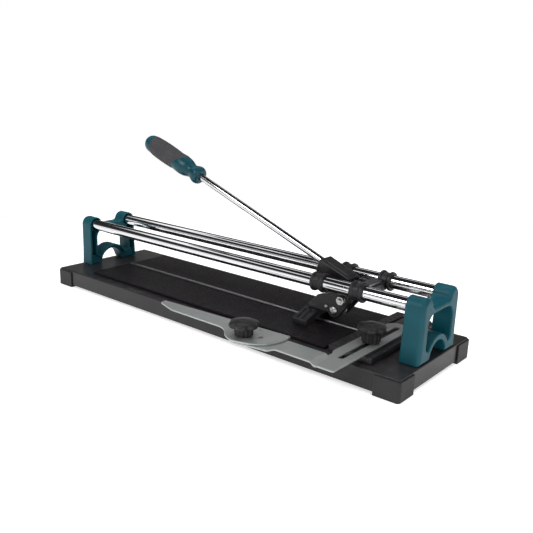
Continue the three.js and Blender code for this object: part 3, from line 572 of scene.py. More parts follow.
STRAP = metal("strap_steel", (0.5, 0.49, 0.51), (0.28, 0.42), (1, 0.05, 1), 1500, 0.2)
SHEET_STEEL = metal("sheet_steel", (0.5, 0.51, 0.505), (0.3, 0.42), (0.05, 1, 1), 1300, 0.16,
                    (0.36, 0.43, 0.405), 0.6, metallic=0.7)
GRIP = moulding("grip_plastic", (0.002, 0.055, 0.075), (0.26, 0.38), 2600, 0.1, 1.8, 0.34)
SLEEVE = rubber("sleeve_rubber", (0.05, 0.05, 0.053))


# ---- base: a folded sheet tray with a moulded cap on each corner ----
def tray():
    """Rings round the skirt: down the inside, up the outside and over the fold."""
    rim, fold = 0.5, 2.0
    profile = [(SHEET + 0.6, DECK_TOP - SHEET), (SHEET, DECK_TOP - SHEET - 0.6), (SHEET, SKIRT_BOTTOM + rim)]
    profile += [(SHEET - rim, SKIRT_BOTTOM), (rim, SKIRT_BOTTOM), (0, SKIRT_BOTTOM + rim)]
    profile += [(0, DECK_TOP - fold)] + bend((0, DECK_TOP - fold), (0, DECK_TOP), (fold, DECK_TOP), 6)
    points = []
    for inset, z in profile:
        r = max(CORNER - inset, 0.4)
        x, y = SKIRT_X - inset, SKIRT_Y - inset
        corners = ((x - r, r - y, -0.5), (x - r, y - r, 0), (r - x, y - r, 0.5), (r - x, r - y, 1))
        for cx, cy, start in corners:
            points += [(px, py, z) for px, py in arc(cx, cy, r, start * pi, (start + 0.5) * pi, 6)]
    count = len(points) // len(profile)
    rings = [list(range(i, i + count)) for i in range(0, len(points), count)]
    faces = [face for low, high in zip(rings, rings[1:]) for face in band(low, high)]
    return weighted(mesh_of(placed(points), faces + [rings[-1], rings[0][::-1]]))


def weighted(mesh):
    """Normals that keep the large faces flat and blend only the small ones between them."""
    total = np.zeros((len(mesh.vertices), 3))
    for polygon in mesh.polygons:
        share = np.array(polygon.normal) * polygon.area
        for i in polygon.vertices:
            total[i] += share
    mesh.normals_split_custom_set_from_vertices([tuple(n) for n in unit(total)])
    return mesh


piece("deck", tray(), "base", "deck", DECK,
      "deck_plate", "front_skirt", "back_skirt", "left_skirt", "right_skirt")


def corner_cap():
    """The front right cap: a wall outside the skirt, a lip under it and a short wall inside."""
    end_x, end_y = SKIRT_X + CAP_PROUD, SKIRT_Y + CAP_PROUD
    reach_x, reach_y = end_x - CAP_REACH, end_y - CAP_REACH
    s = Space((reach_x, -end_y, 0), (end_x, -reach_y, CAP_TOP), 0.5)
    y = -s.y

    def outline(grow):
        r = max(CORNER + grow, 0.6)
        dx, dy = s.x - (SKIRT_X + grow - r), y - (SKIRT_Y + grow - r)
        return np.where((dx > 0) & (dy > 0), np.hypot(dx, dy) - r, meet(dx, dy) - r)

    body = both(outline(CAP_PROUD), s.z - CAP_TOP, 0.9)
    body = both(body, -s.z, 0.9)
    groove = meet(outline(GAP), -outline(-SHEET - GAP))
    body = meet(body, -meet(groove, SKIRT_BOTTOM - GAP - s.z))
    inside = meet(outline(-SHEET - GAP - CAP_WALL), CAP_FLOOR - s.z)
    body = without(body, inside, 0.5)
    body = without(body, meet(outline(-SHEET), DECK_TOP - SHEET - 4 - s.z), 0.3)
    body = both(body, reach_x - s.x, 0.7)
    body = both(body, reach_y - y, 0.7)
    return s.surface(body)


cap = corner_cap()
for side, sign_x in SIDES:
    for face, sign_y in FACES:
        mesh = carved(mirrored(cap, sign_x, -sign_y))
        piece(f"cap_{face}_{side}", mesh, "base", "foot", CAP, f"foot_{face}_{side}")

# ---- tile bed ----
for face, low, high in (("front", -PAD_OUTER, -PAD_INNER), ("back", PAD_INNER, PAD_OUTER)):
    outline = rectangle(BED_X0, BED_X1, low, high, 2)
    mesh = slab([outline], ON_DECK, PAD_TOP, 0.9, n=4)
    piece(f"pad_{face}", mesh, "base", "pad", PAD, f"{face}_pad")

rib_outline = [(-3, 26.1), (3, 26.1), (3, 28.2), (1.5, 28.2), (1.5, 30.3), (0.5, 31.3),
               (-0.5, 31.3), (-1.5, 30.3), (-1.5, 28.2), (-3, 28.2)]
rib_outline = rounded(rib_outline, [0.2, 0.2, 0.5, 0.7, 0.6, 0.4, 0.4, 0.6, 0.7, 0.5])
mesh = slab([rib_outline], BED_X0, BED_X1, 0.15, at(0, 0, 0, "x"))
piece("breaking_rib_visual", mesh, "base", "steel", RIB, "breaking_rib")


# ---- end brackets ----
def bracket_outline():
    inner = pi - asin((DIP + 3 - RAIL_Z) / HUMP)
    right = [(BRACKET_FOOT, ON_DECK), (BRACKET_HALF, ON_DECK + 24)]
    right += arc(RAIL_Y, RAIL_Z, HUMP, 0, inner, 16)
    right += bend(right[-1], (RAIL_Y - HUMP - 1, DIP), (RAIL_Y - HUMP - 5, DIP), 6)
    return right + [(-y, z) for y, z in reversed(right)]


def window_outline():
    """An arch at the bottom, straight sides, and two round corners at the top."""
    half, low, spring = WINDOW_HALF, WINDOW_BOTTOM, 0.5
    side, top = half - WINDOW_CORNER, WINDOW_TOP - WINDOW_CORNER
    points = arc(0, DECK_TOP, ARCH_OUTER, spring, pi - spring, 30)
    points += bend(points[-1], (-half, low - 4), (-half, low), 5)
    points += arc(-side, top, WINDOW_CORNER, pi, pi / 2, 10)
    points += arc(side, top, WINDOW_CORNER, pi / 2, 0, 10)
    return points + [(half, low)] + bend((half, low), (half, low - 4), points[0], 5)[:-1]


def bracket():
    """The right-hand bracket as a moulded shell. `deep` is the distance in from its outer face."""
    top = RAIL_Z + HUMP
    s = Space((OUTER - BRACKET_DEPTH - DRAFT, -BRACKET_FOOT, ON_DECK), (OUTER, BRACKET_FOOT, top), 0.62)
    deep = OUTER - s.x
    side = abs(s.y)
    rail = round_field(side, s.z, (RAIL_Y, RAIL_Z), 0)
    window = outline_field(window_outline(), s.y, s.z)
    body = both(outline_field(bracket_outline(), s.y, s.z), -deep, 5.2)
    body = without(body, window, 1.6)
    room = both(both(side - BRACKET_HALF + WALL, s.z - DIP + WALL, 3), FACE - deep, 1.5)
    barrel = meet(round_field(s.y, s.z, (0, DECK_TOP), ARCH_OUTER), deep - ARCH_DEPTH)
    socket = meet(rail - HUMP, deep - SOCKET_DEPTH)
    boss = meet(24 - side, s.z - DECK_TOP - 13.5, deep - ARCH_DEPTH)
    keep = join(barrel, socket, boss, window - WALL, meet(side - 22, 79 - s.z))
    room = both(room, -keep, 1.2)
    hood = meet(rail - HUMP + WALL, SOCKET_DEPTH - deep)
    body = without(body, join(room, hood), 0.7)
    body = without(body, round_field(s.y, s.z, (0, ON_DECK), ARCH_INNER), 1.3)
    body = meet(body, -meet(rail - RAIL_R - GAP, OUTER - RAIL_END - GAP - deep))
    slope = BRACKET_DEPTH + DRAFT * np.clip((78.7 - s.z) / 53, 0, 1)
    body = both(body, deep - slope, 0.7)
    return s.surface(both(body, ON_DECK - s.z, 0.5))


shape = bracket()
for side, sign in SIDES:
    piece(f"bracket_{side}", carved(mirrored(shape, sign)), "base", "bracket", TEAL, f"{side}_bracket")


def bar(r, z0, z1, edge):
    """The profile of a round bar with rounded ends."""
    return rounded([(0, z0), (r, z0), (r, z1), (0, z1)], [0, edge, edge, 0], 4, closed=False)


for face, sign in FACES:
    mesh = turned(bar(RAIL_R, -RAIL_END, RAIL_END, 0.9), at(0, RAIL_Y * sign, RAIL_Z, "x"), 96)
    piece(f"rail_{face}", mesh, "base", "rail", CHROME, f"{face}_rail")


# ---- screws ----
THREAD_PITCH, THREAD_DEPTH = 0.9, 0.18


def cross_recess(s, top, width, depth):
    """A cross-shaped driver recess, open upwards at `top`."""
    across, along = abs(s.x), abs(s.y)
    thin = width * 0.22
    arms = join(meet(across - thin, along - width), meet(along - thin, across - width))
    taper = arms + np.maximum(top - s.z, 0) * 0.35
    return meet(taper, top - depth - s.z)


def pan_screw(head, height, shank, length, step=0.22):
    """A pan-head screw with its head above z = 0 and its shank below."""
    s = Space((-head, -head, -length), (head, head, height), step)
    r = np.hypot(s.x, s.y)
    crown = np.sqrt(r * r + (s.z + head * 1.15) ** 2) - (height + head * 1.15)
    cap = both(both(r - head, crown, 0.7), -s.z, 0.25)
    cap = meet(cap, -cross_recess(s, height, head * 0.55, height * 0.75))
    turns = s.z / THREAD_PITCH + np.arctan2(s.y, s.x) / (2 * pi)
    thread = shank - THREAD_DEPTH + THREAD_DEPTH * abs(2 * (turns % 1) - 1)
    rod = both(r - thread, -s.z - length, 0.3)
    return s.surface(join(cap, meet(rod, s.z - height * 0.3)))


def steel(name, shape, body, node, matrix):
    piece(name, carved(shape, matrix), body, "steel", ZINC, node)


def facing(turn, x, y, z):
    """+Z of a shape turned to the front, to the back or down."""
    return Matrix.Translation((x, y, z)) @ Matrix.Rotation(turn, 4, "X")


FRONT, BACK, DOWN = pi / 2, -pi / 2, pi
screw = pan_screw(4.5, 3.0, 2.5, 10)
spots = [(x, y) for x in (-BRACKET_SCREW_X, BRACKET_SCREW_X) for y in (-BRACKET_SCREW_Y, BRACKET_SCREW_Y)]
for i, (x, y) in enumerate(spots, 1):
    steel(f"bracket_fixing_{i}", screw, "base", f"bracket_screw_{i}", facing(DOWN, x, y, UNDER_DECK))
screw = pan_screw(4.5, 3.0, 2.5, 7)
for i, y in enumerate(FENCE_SCREWS_Y, 1):
    place = facing(DOWN, FENCE_SCREW_X, y, UNDER_DECK)
    steel(f"fence_fixing_{i}", screw, "base", f"fence_screw_{i}", place)

# ---- fence ----
edge_x = FENCE_X0 + RULER_WIDTH
section = [(ON_DECK, FENCE_X0), (ON_DECK, FENCE_X1), (FENCE_TOP, FENCE_X1), (FENCE_TOP, FENCE_X1 - 4),
           (FENCE_TOP - 1.6, FENCE_X1 - 5), (FENCE_TOP - 1.6, FENCE_X1 - 7), (FENCE_TOP, FENCE_X1 - 8),
           (FENCE_TOP, edge_x + GROOVE_WIDTH), (FENCE_TOP - GROOVE_DEPTH, edge_x + GROOVE_WIDTH),
           (FENCE_TOP - GROOVE_DEPTH, edge_x), (FENCE_TOP - 1.5, edge_x), (FENCE_TOP - 1.5, FENCE_X0)]
section = rounded(section, [0.4, 0.4, 1, 0.5, 0.4, 0.4, 0.5, 0.6, 0.3, 0.3, 0.3, 0.3], 3)
mesh = slab([section], FENCE_Y0, FENCE_Y1, 0.6, at(0, 0, 0, "y"))
piece("fence_bar", mesh, "base", "casting", CASTING, "fence_block")

ruler = rectangle(FENCE_X0, edge_x, FENCE_Y0, FENCE_Y1, 0.5, 3)
dots = [circle(FENCE_X0 + 8.5, y, 1.1, 20) for y in range(-70, 82, 10)]
lines = [rectangle(FENCE_X0 + 3, FENCE_X0 + 5.4, y - 0.3, y + 0.3, 0.25, 2) for y in range(-65, 82, 10)]
mesh = slab([ruler] + dots + lines, FENCE_TOP - 1.2, FENCE_TOP + 0.6, 0.25)
piece("fence_ruler_visual", mesh, "base", "casting", CASTING, "fence_ruler")


def threaded(radius, z0, z1, pitch=1.0, chamfer=0.6):
    """The profile of a threaded stud between two heights."""
    profile = [(0, z0), (radius - chamfer, z0)]
    z = z0 + chamfer
    while z < z1 - chamfer:
        profile += [(radius, z), (radius - 0.28, z + pitch / 2)]
        z += pitch
    return profile + [(radius - chamfer, z1), (0, z1)]


mesh = turned(threaded(STUD_R, 27.5, 51), at(SLOT_X, STUD_Y, 0), 32)
piece("fence_bolt", mesh, "base", "steel", ZINC, "fence_stud")


# ---- knobs: a lobed mushroom head on a fluted hub ----
CROWN_R = 60


def knob(height, lobes=6):
    s = Space((-KNOB_R, -KNOB_R, 0), (KNOB_R, KNOB_R, height), 0.4)
    r = np.hypot(s.x, s.y)
    angle = np.arctan2(s.y, s.x)
    groove = (0.5 - 0.5 * np.cos(lobes * angle)) ** 2.2
    star = KNOB_R - 0.1 - 3.0 * groove
    crown = np.sqrt(r * r + (s.z - height + CROWN_R) ** 2) - CROWN_R
    head = both((r - star) * 0.93, crown, 2.4)
    head = both(head, (height - 8.4) - s.z + 0.12 * np.maximum(r - 9, 0), 1.8)
    flute = 9.9 + 0.75 * np.cos(2 * lobes * angle) + 0.07 * s.z
    hub = both((r - flute) * 0.9, -s.z, 0.8)
    hub = meet(hub, s.z - height + 3)
    skirt = both((r - 8.7) * 0.9, -s.z, 0.4)
    body = either(head, join(hub, meet(skirt, s.z - 3)), 2.2)
    dish = np.sqrt(r * r + (s.z - height - 17.6) ** 2) - 18.0
    body = without(body, dish, 0.8)
    seat = meet(r - INSERT_R - GAP, s.z - INSERT_END - GAP)
    return s.surface(meet(body, -seat, -meet(r - KNOB_BORE, s.z - height + 4)))


insert = [(KNOB_BORE, 0.2), (INSERT_R, 0.2), (INSERT_R, INSERT_END), (KNOB_BORE, INSERT_END)]
insert = rounded(insert, 0.5, 3)
for label, height, x, y, z in (("fence", 21.4, SLOT_X, STUD_Y, LEG_TOP + GAP),
                               ("angle", 17.4, SWIVEL_X, SWIVEL_Y, BLADE_TOP + GAP)):
    name = f"{label}_knob"
    piece(f"{name}_head", carved(knob(height), at(x, y, z)), f"{name}_body", "moulding", KNOB, name)
    mesh = turned(insert, at(x, y, z), 40, closed=True)
    piece(f"{name}_core", mesh, f"{name}_body", "steel", ZINC, f"{name}_insert")


# ---- rip guide and angle blade ----
def guide():
    """A slotted leg across the fence and, one joggle higher, an arm that carries the blade."""
    s = Space((99.5, -150, LEG_TOP - PLATE), (LEG_X1, LEG_BACK, ARM_TOP), 0.5)
    leg = [(LEG_X0, LEG_FRONT), (LEG_X1, LEG_FRONT), (LEG_X1, LEG_BACK - 6), (LEG_X1 - 6, LEG_BACK),
           (LEG_X0 + 4, LEG_BACK), (LEG_X0 - 3.5, LEG_BACK - 9), (LEG_X0 - 3.5, LEG_FRONT + 45),
           (LEG_X0, LEG_FRONT + 40)]
    leg = rounded(leg, [0.5] + [3] * 7, 4)
    arm = [(LEG_X0 + 8, ARM_FRONT), (169.5, ARM_FRONT), (166, ARM_FRONT - 9)]
    arm += bend(arm[-1], (146, ARM_FRONT - 11), (128, ARM_FRONT - 16.5), 10)
    arm += bend(arm[-1], (104, ARM_FRONT - 12), (100, ARM_FRONT + 9), 10)
    arm += bend(arm[-1], (102, ARM_BACK - 2), (118, ARM_BACK)) + [(LEG_X0 + 8, ARM_BACK)]
    arm = rounded(arm, [0, 3, 2] + [0] * (len(arm) - 3), 4)
    leg_plan = outline_field(leg, s.x, s.y)
    arm_plan = outline_field(arm, s.x, s.y)
    rise = np.clip((s.x - (LEG_X0 - 1.5)) / 6.5, 0, 1)
    rise = rise * rise * (3 - 2 * rise)
    arm_top = ARM_TOP + (LEG_TOP - ARM_TOP) * rise
    raised = meet(arm_plan, s.x - LEG_X0 - 7)
    arm_plate = both(raised, abs(s.z - arm_top + PLATE / 2) * 0.9 - PLATE / 2 * 0.9, 0.45)
    behind = meet(leg_plan, -meet(s.x - LEG_X0 - 3, s.y - ARM_BACK - 0.5))
    flat = meet(behind, -meet(s.x - LEG_X0 - 5.5, s.y - ARM_BACK))
    leg_plate = both(flat, abs(s.z - LEG_TOP + PLATE / 2) - PLATE / 2, 0.45)
    body = join(arm_plate, leg_plate)
    slot = np.hypot(s.x - SLOT_X, np.maximum(abs(s.y - STUD_Y) - SLOT_REACH, 0)) - SLOT_HALF
    body = without(body, slot, 0.4)
    return s.surface(meet(body, -round_field(s.x, s.y, (SWIVEL_X, SWIVEL_Y), SWIVEL_HOLE)))


piece("guide_plate", carved(guide()), "guide", "plate", SHEET_STEEL, "rip_guide")

stud = [(0, -2.4), (5.4, -2.4), (6, -1.8), (6, 0), (STUD_R, 0.01)] + threaded(STUD_R, 0.1, 17)[2:]
mesh = turned(stud, at(SWIVEL_X, SWIVEL_Y, ARM_TOP - PLATE - GAP), 40)
piece("guide_bolt", mesh, "guide", "steel", ZINC, "swivel_stud")

blade = [(-150, 20.5), (-149, 12), (-120, 2.5), (-39, 2.5)]
blade += bend(blade[-1], (-30, 1), (-23, -7))
blade += bend(blade[-1], (-12, -19), (2, -20))
blade += bend(blade[-1], (28, -15), (36.5, -1))
blade += bend(blade[-1], (42, 12), (42.2, 23)) + [(40, 33.5)]
blade = rounded(blade, [1.5, 1.5, 4, 3] + [0] * (len(blade) - 5) + [2], 5)
reading_hole = circle(18, 7.5, 3.2)
place = at(SWIVEL_X, SWIVEL_Y, BLADE_TOP - PLATE)
mesh = slab([blade, circle(0, 0, SWIVEL_HOLE), reading_hole], 0, PLATE, 0.5, place)
piece("blade_plate", mesh, "blade", "plate", SHEET_STEEL, "angle_blade")
dimple = [(0, -0.3), (2.8, -0.3), (2.6, 0.3), (1.9, 0.9), (1.0, 1.25), (0, 1.35)]
mesh = turned(dimple, at(SWIVEL_X + 4, SWIVEL_Y + 25.5, BLADE_TOP), 32)
piece("blade_dimple", mesh, "blade", "plate", SHEET_STEEL)

# ---- carriage ----
waist_end = BUSH_HALF - FLANGE_WIDTH - 1
bush = [(BUSH_BORE, -BUSH_HALF), (FLANGE, -BUSH_HALF), (FLANGE, -waist_end - 1), (WAIST, -waist_end)]
bush += [(r, -x) for r, x in reversed(bush)]
bush = rounded(bush, [0.5, 1.5, 1.3, 1.0, 1.0, 1.3, 1.5, 0.5], 6)
for side, sign_x in SIDES:
    for face, sign_y in FACES:
        place = at(CARRIAGE_X + BUSH_X * sign_x, RAIL_Y * sign_y, RAIL_Z, "x")
        mesh = turned(bush, place, closed=True)
        piece(f"bush_{face}_{side}", mesh, "carriage", "moulding", BLACK, f"bushing_{face}_{side}")


def frame_casting():
    """Made in the carriage's own frame, with its middle at x = 0."""
    s = Space((-31, -29, 59), (31, 29, 90), 0.5)
    side = abs(s.y)
    across = abs(s.x)
    neck = waist_end - GAP
    reach = BUSH_X + neck
    plates = both(across - reach, slab_field(side, EAR_INNER, 20.7), 1.2)
    plates = both(plates, slab_field(s.z, 79, 88.5), 1.2)
    near = abs(across - BUSH_X) - neck
    saddles = both(both(near, slab_field(side, EAR_INNER, 26.5), 0.8), slab_field(s.z, 79, 89.5), 1.2)
    tie = box_field(s, (BUSH_X - neck + 1, reach), (-20, 20), (79, 89.3), 1.2)
    ear = [(PIVOT_DX + 13, 82), (PIVOT_DX - 13, 82), (PIVOT_DX - 13, 80), (PIVOT_DX - 8, PIVOT_Z)]
    ear += arc(PIVOT_DX, PIVOT_Z, 8, pi, 2 * pi, 20)[1:] + [(PIVOT_DX + 13, 80)]
    ears = both(outline_field(ear, s.x, s.z), slab_field(side, EAR_INNER, EAR_OUTER), 0.9)
    body = either(either(plates, saddles, 1.2), either(tie, ears, 1.0), 1.5)
    tube = round_field(side, s.z, (RAIL_Y, RAIL_Z), 0)
    body = without(body, meet(tube - WAIST - GAP, near - 1), 0.4)
    end = BUSH_HALF + 1
    flanges = join(slab_field(across, BUSH_X - end, BUSH_X - neck),
                   slab_field(across, BUSH_X + neck, BUSH_X + end))
    body = without(body, meet(tube - FLANGE - GAP, flanges), 0.3)
    body = without(body, tube - BUSH_BORE - GAP, 0.3)
    return s.surface(without(body, round_field(s.x, s.z, (PIVOT_DX, PIVOT_Z), PIVOT_HOLE), 0.4))


mesh = carved(frame_casting(), at(CARRIAGE_X, 0, 0))
piece("carriage_casting", mesh, "carriage", "casting", CASTING, "carriage_frame")

strap = rectangle(CARRIAGE_X + 14.5, CARRIAGE_X + 27.5, -18.5, 18.5, 1.2)
piece("strap", slab([strap], 89.6, 91.8, 0.45), "carriage", "steel", STRAP, "cross_strap")


def hexagon_field(s, across):
    angles = [k * pi / 3 + pi / 6 for k in range(3)]
    return meet(*(abs(s.x * cos(a) + s.y * sin(a)) - across / 2 for a in angles))


def hex_bolt(across, head, washer, shank, length, step=0.26):
    """A flanged hexagon bolt with its head above z = 0."""
    s = Space((-6.4, -6.4, -length), (6.4, 6.4, head), step)
    r = np.hypot(s.x, s.y)
    nut = both(hexagon_field(s, across), slab_field(s.z, 0, head), 0.25)
    nut = meet(nut, (r + (s.z - head) * 1.7 - across * 0.52) * 0.5)
    flange = both(r - washer, slab_field(s.z, 0, 1.1), 0.4)
    dimple = np.sqrt(r * r + (s.z - head - 4.2) ** 2) - 5.2
    rod = both(r - shank, -s.z - length, 0.5)
    body = join(either(nut, flange, 0.5), meet(rod, s.z - 1))
    return s.surface(without(body, dimple, 0.3))


def hex_nut(across, height, bore, step=0.26):
    s = Space((-6, -6, 0), (6, 6, height), step)
    r = np.hypot(s.x, s.y)
    nut = both(hexagon_field(s, across), slab_field(s.z, 0, height), 0.2)
    nut = meet(nut, (r + (abs(s.z - height / 2) - height / 2) * 1.7 - across * 0.52) * 0.5)
    return s.surface(without(nut, r - bore, 0.4))


face_y = EAR_OUTER + GAP
place = facing(FRONT, PIVOT_X, -face_y, PIVOT_Z)
steel("pivot", hex_bolt(10, 4.0, 5.7, 4.0, 41), "carriage", "pivot_bolt", place)
place = facing(BACK, PIVOT_X, face_y, PIVOT_Z)
steel("pivot_lock_nut", hex_nut(10, 4.7, PIVOT_HOLE), "carriage", "pivot_nut", place)

# ---- lever: made in its own frame, with the pivot at the origin ----
LEVER = Matrix.Translation((PIVOT_X, 0, PIVOT_Z))


def lever_casting():
    s = Space((-56, -CHEEK_OUTER, -29), (12, CHEEK_OUTER, 44), 0.5)
    side = abs(s.y)
    axle = round_field(s.x, s.z, (AXLE_X, AXLE_Z), 0)
    c, t = cos(TILT), sin(TILT)
    along = s.x * c - s.z * t
    up = s.x * t + s.z * c
    socket = both(slab_field(along, -51, -4), slab_field(up, 9, 25.5), 1.6)
    socket = both(socket, side - 12, 1.8)
    crown = meet(abs(along + 27) - 19, side - 7, abs(up - 25.9) - 0.5)
    socket = join(socket, crown)
    cheek = [(8, 6), (10, 19), (-18, 22), (-21, 5)] + bend((-21, 5), (-23, 1), (-33, -0.5), 6)
    cheek += [(-39, -3), (FOOT_X0 + 5, RIDGE + 4), (FOOT_X0 + 5, RIDGE + GAP), (FOOT_X1 - 3, RIDGE + GAP)]
    cheek += bend(cheek[-1], (-28, RIDGE - 1), (AXLE_X - 7, AXLE_Z - 4), 6)
    cheek += arc(AXLE_X, AXLE_Z, 9.3, 1.15 * pi, 1.8 * pi, 16) + [(7.5, -4.5)]
    cheek += arc(0, 0, 8.7, -0.17 * pi, 0.2 * pi, 10)
    cheeks = both(outline_field(cheek, s.x, s.z), slab_field(side, CHEEK_INNER, CHEEK_OUTER), 1.0)
    rings = both(axle - 7.6, side - CHEEK_OUTER, 0.5)
    bridge = box_field(s, (FOOT_X0 + 5, FOOT_X1 - 3), (-CHEEK_OUTER, CHEEK_OUTER),
                       (RIDGE + GAP, RIDGE + 5), 0.9)
    body = either(either(socket, cheeks, 1.6), bridge, 1.2)
    body = join(body, meet(rings, CHEEK_INNER - side))
    bore = round_field(up, s.y, (ROD_OFFSET, 0), ROD_R + GAP)
    body = without(body, meet(bore, along + ROD_START - GAP), 0.5)
    body = without(body, meet(axle - 12.2, side - CHEEK_INNER), 0.3)
    body = without(body, round_field(s.x, s.z, (0, 0), PIVOT_HOLE), 0.4)
    body = without(body, axle - AXLE_HOLE, 0.3)
    hole = round_field(s.x, s.z, (HOUSING_SCREW_X, HOUSING_SCREW_Z), 1.6)
    body = meet(body, -meet(hole, s.y + 8.2, -s.y - 30))
    hole = round_field(s.x, s.y, (FOOT_SCREW_X, 0), FOOT_SCREW_HOLE)
    return s.surface(meet(body, -meet(hole, RIDGE - 5 - s.z)))


piece("lever_casting", carved(lever_casting(), LEVER), "lever", "casting", CASTING, "lever_block")


def wing():
    """The breaker foot: two wings that slope down from a ridge, with two shallow lanes along each."""
    s = Space((FOOT_X0, -FOOT_HALF, FOOT_BOTTOM), (FOOT_X1, FOOT_HALF, RIDGE), 0.45)
    right = [(7, FOOT_ARCH), (FOOT_HALF - 7, FOOT_BOTTOM), (FOOT_HALF, FOOT_BOTTOM),
             (FOOT_HALF, FOOT_TIP), (11, RIDGE)]
    radii = [4, 2, 1, 1.5, 4]
    outline = rounded(right + [(-y, z) for y, z in reversed(right)], radii + radii[::-1], 5)
    d = outline_field(outline, s.y, s.z)
    body = both(d, slab_field(s.x, FOOT_X0, FOOT_X1), 0.9)
    middle = (FOOT_X0 + FOOT_X1) / 2
    side = abs(s.y)
    lane = meet(abs(abs(s.x - middle) - 3.6) - 2.1, 14 - side, side - 34.5)
    body = without(body, meet(lane, -d - 1.1), 0.4)
    return s.surface(meet(body, -round_field(s.x, s.y, (FOOT_SCREW_X, 0), FOOT_SCREW_HOLE)))


piece("foot_wing", carved(wing(), LEVER), "lever", "moulding", BLACK, "breaker_foot")

seat = RIDGE + 5 + GAP
face_y = CHEEK_OUTER + GAP
for name, shape, node, place in (
        ("foot_fixing", pan_screw(4.4, 2.4, 2.5, seat - FOOT_TIP), "foot_screw", at(FOOT_SCREW_X, 0, seat)),
        ("housing_fixing", pan_screw(2.3, 1.6, 1.3, 4.2, 0.14), "housing_screw",
         facing(FRONT, HOUSING_SCREW_X, -face_y, HOUSING_SCREW_Z)),
        ("axle", pan_screw(5.4, 2.8, 3.0, 29.8, 0.26), "axle_screw", facing(FRONT, AXLE_X, -face_y, AXLE_Z)),
        ("axle_lock_nut", hex_nut(9, 3.7, AXLE_HOLE), "axle_nut", facing(BACK, AXLE_X, face_y, AXLE_Z))):
    steel(name, shape, "lever", node, LEVER @ place)

wheel = [(AXLE_HOLE, -5.8), (5, -5.8), (5, -1.3), (8.5, -1.3), (11, -0.12)]
wheel += [(r, -z) for r, z in reversed(wheel)]
wheel = rounded(wheel, [0.2, 0.5, 0.6, 0.3, 0.05, 0.05, 0.3, 0.6, 0.5, 0.2], 4)
mesh = turned(wheel, LEVER @ at(AXLE_X, 0, AXLE_Z, "y"), 96, closed=True)
piece("cutting_wheel", mesh, "wheel", "steel", ZINC, "scoring_wheel")

# ---- handle ----
HANDLE = LEVER @ Matrix.Rotation(TILT, 4, "Y") @ Matrix.Translation((0, 0, ROD_OFFSET))
HANDLE = HANDLE @ Matrix.Rotation(-pi / 2, 4, "Y")
mesh = turned(bar(ROD_R, ROD_START, ROD_END, 0.7), HANDLE)
piece("rod", mesh, "lever", "rail", CHROME, "handle_rod")


def smooth_line(points, n=6):
    """A Catmull-Rom curve through the points."""
    p = [points[0]] + list(points) + [points[-1]]
    made = []
    for a, b, c, d in zip(p, p[1:], p[2:], p[3:]):
        for i in range(n):
            t = i / n
            made.append(tuple(
                0.5 * (2 * b[k] + (c[k] - a[k]) * t + (2 * a[k] - 5 * b[k] + 4 * c[k] - d[k]) * t * t
                       + (3 * b[k] - a[k] - 3 * c[k] + d[k]) * t ** 3) for k in (0, 1)))
    return made + [points[-1]]


GRIP_SHAPE = [(4.8, 275.2), (8.3, 275.2), (10.9, 276.6), (12.2, 279.6), (12.2, 283), (11, 287), (9.6, 291.5),
              (10.2, 296), (12.5, 303), (13.5, 310), (13.4, 317), (12.9, 324), (13.3, 333), (13.7, 346),
              (13.5, 362), (12.75, 374), (12.45, 379), (11.05, 384.5), (8, 388.4), (4, 390.3), (0, 390.7)]
grip_line = smooth_line(GRIP_SHAPE)
grip_z = [z for r, z in grip_line]
grip_r = [r for r, z in grip_line]
bore_end = ROD_END + 2 * GAP
mesh = turned([(0, bore_end), (GRIP_SHAPE[0][0], bore_end)] + grip_line, HANDLE, 96)
piece("grip_body", mesh, "lever", "grip", GRIP, "grip_core")


def sleeve_mesh(proud=0.35, segments=96, rows=46):
    """A soft sleeve whose ends slant round the grip and dip a little into it."""
    points = []
    for i in range(segments):
        a = 2 * pi * i / segments
        toward = cos(a)
        start = 320.5 - 9.5 * toward - 2.0 * cos(2 * a)
        end = 373.5 + 4.5 * toward
        column = []
        for k in range(rows + 1):
            t = k / rows
            z = start + (end - start) * t
            r = float(np.interp(z, grip_z, grip_r))
            edge = min(t * (end - start), (1 - t) * (end - start))
            lift = proud * sqrt(1 - (1 - min(edge / 0.8, 1)) ** 2)
            column.append((r + lift if edge > 1e-9 else r - 0.25, z))
        column = [(column[0][0] - 0.6, column[0][1])] + column + [(column[-1][0] - 0.6, column[-1][1])]
        points += [(r * cos(a), r * sin(a), z) for r, z in column]
    rings = [list(range(i, i + rows + 3)) for i in range(0, len(points), rows + 3)]
    faces = [face for here, ahead in around(rings) for face in band(ahead, here)]
    return mesh_of(placed(points, HANDLE), faces)


piece("sleeve", sleeve_mesh(), "lever", "sleeve", SLEEVE, "grip_sleeve")


# ---- stage, light and camera ----
FLOOR_RADIUS = 0.8
FLOOR_GLOW = 0.62
MIRRORED_FLOOR_GLOW = 0.3  # a little dimmer in mirrors, so that the chrome isn't burnt out


def white_floor():
    """White paper that glows, so that only soft contact shadows show on it. It is clear from below."""
    made = bpy.data.materials.new("floor_white")
    made.use_nodes = True
    tree = made.node_tree
    shader = tree.nodes["Principled BSDF"]
    mirrored_ray = add_node(tree, "ShaderNodeLightPath", {}).outputs["Is Glossy Ray"]
    inputs = {"Value": mirrored_ray, "To Min": FLOOR_GLOW, "To Max": MIRRORED_FLOOR_GLOW}
    glow = add_node(tree, "ShaderNodeMapRange", inputs).outputs[0]
    feed(tree, shader, {"Base Color": (0.8, 0.8, 0.8, 1), "Roughness": 0.9, "Specular IOR Level": 0,
                        "Emission Color": (1, 1, 1, 1), "Emission Strength": glow})
    below = add_node(tree, "ShaderNodeNewGeometry", {}).outputs["Backfacing"]
    clear = add_node(tree, "ShaderNodeBsdfTransparent", {}).outputs[0]
    surface = add_node(tree, "ShaderNodeMixShader", {0: below, 1: shader.outputs[0], 2: clear})
    feed(tree, tree.nodes["Material Output"], {"Surface": surface.outputs[0]})
    return made


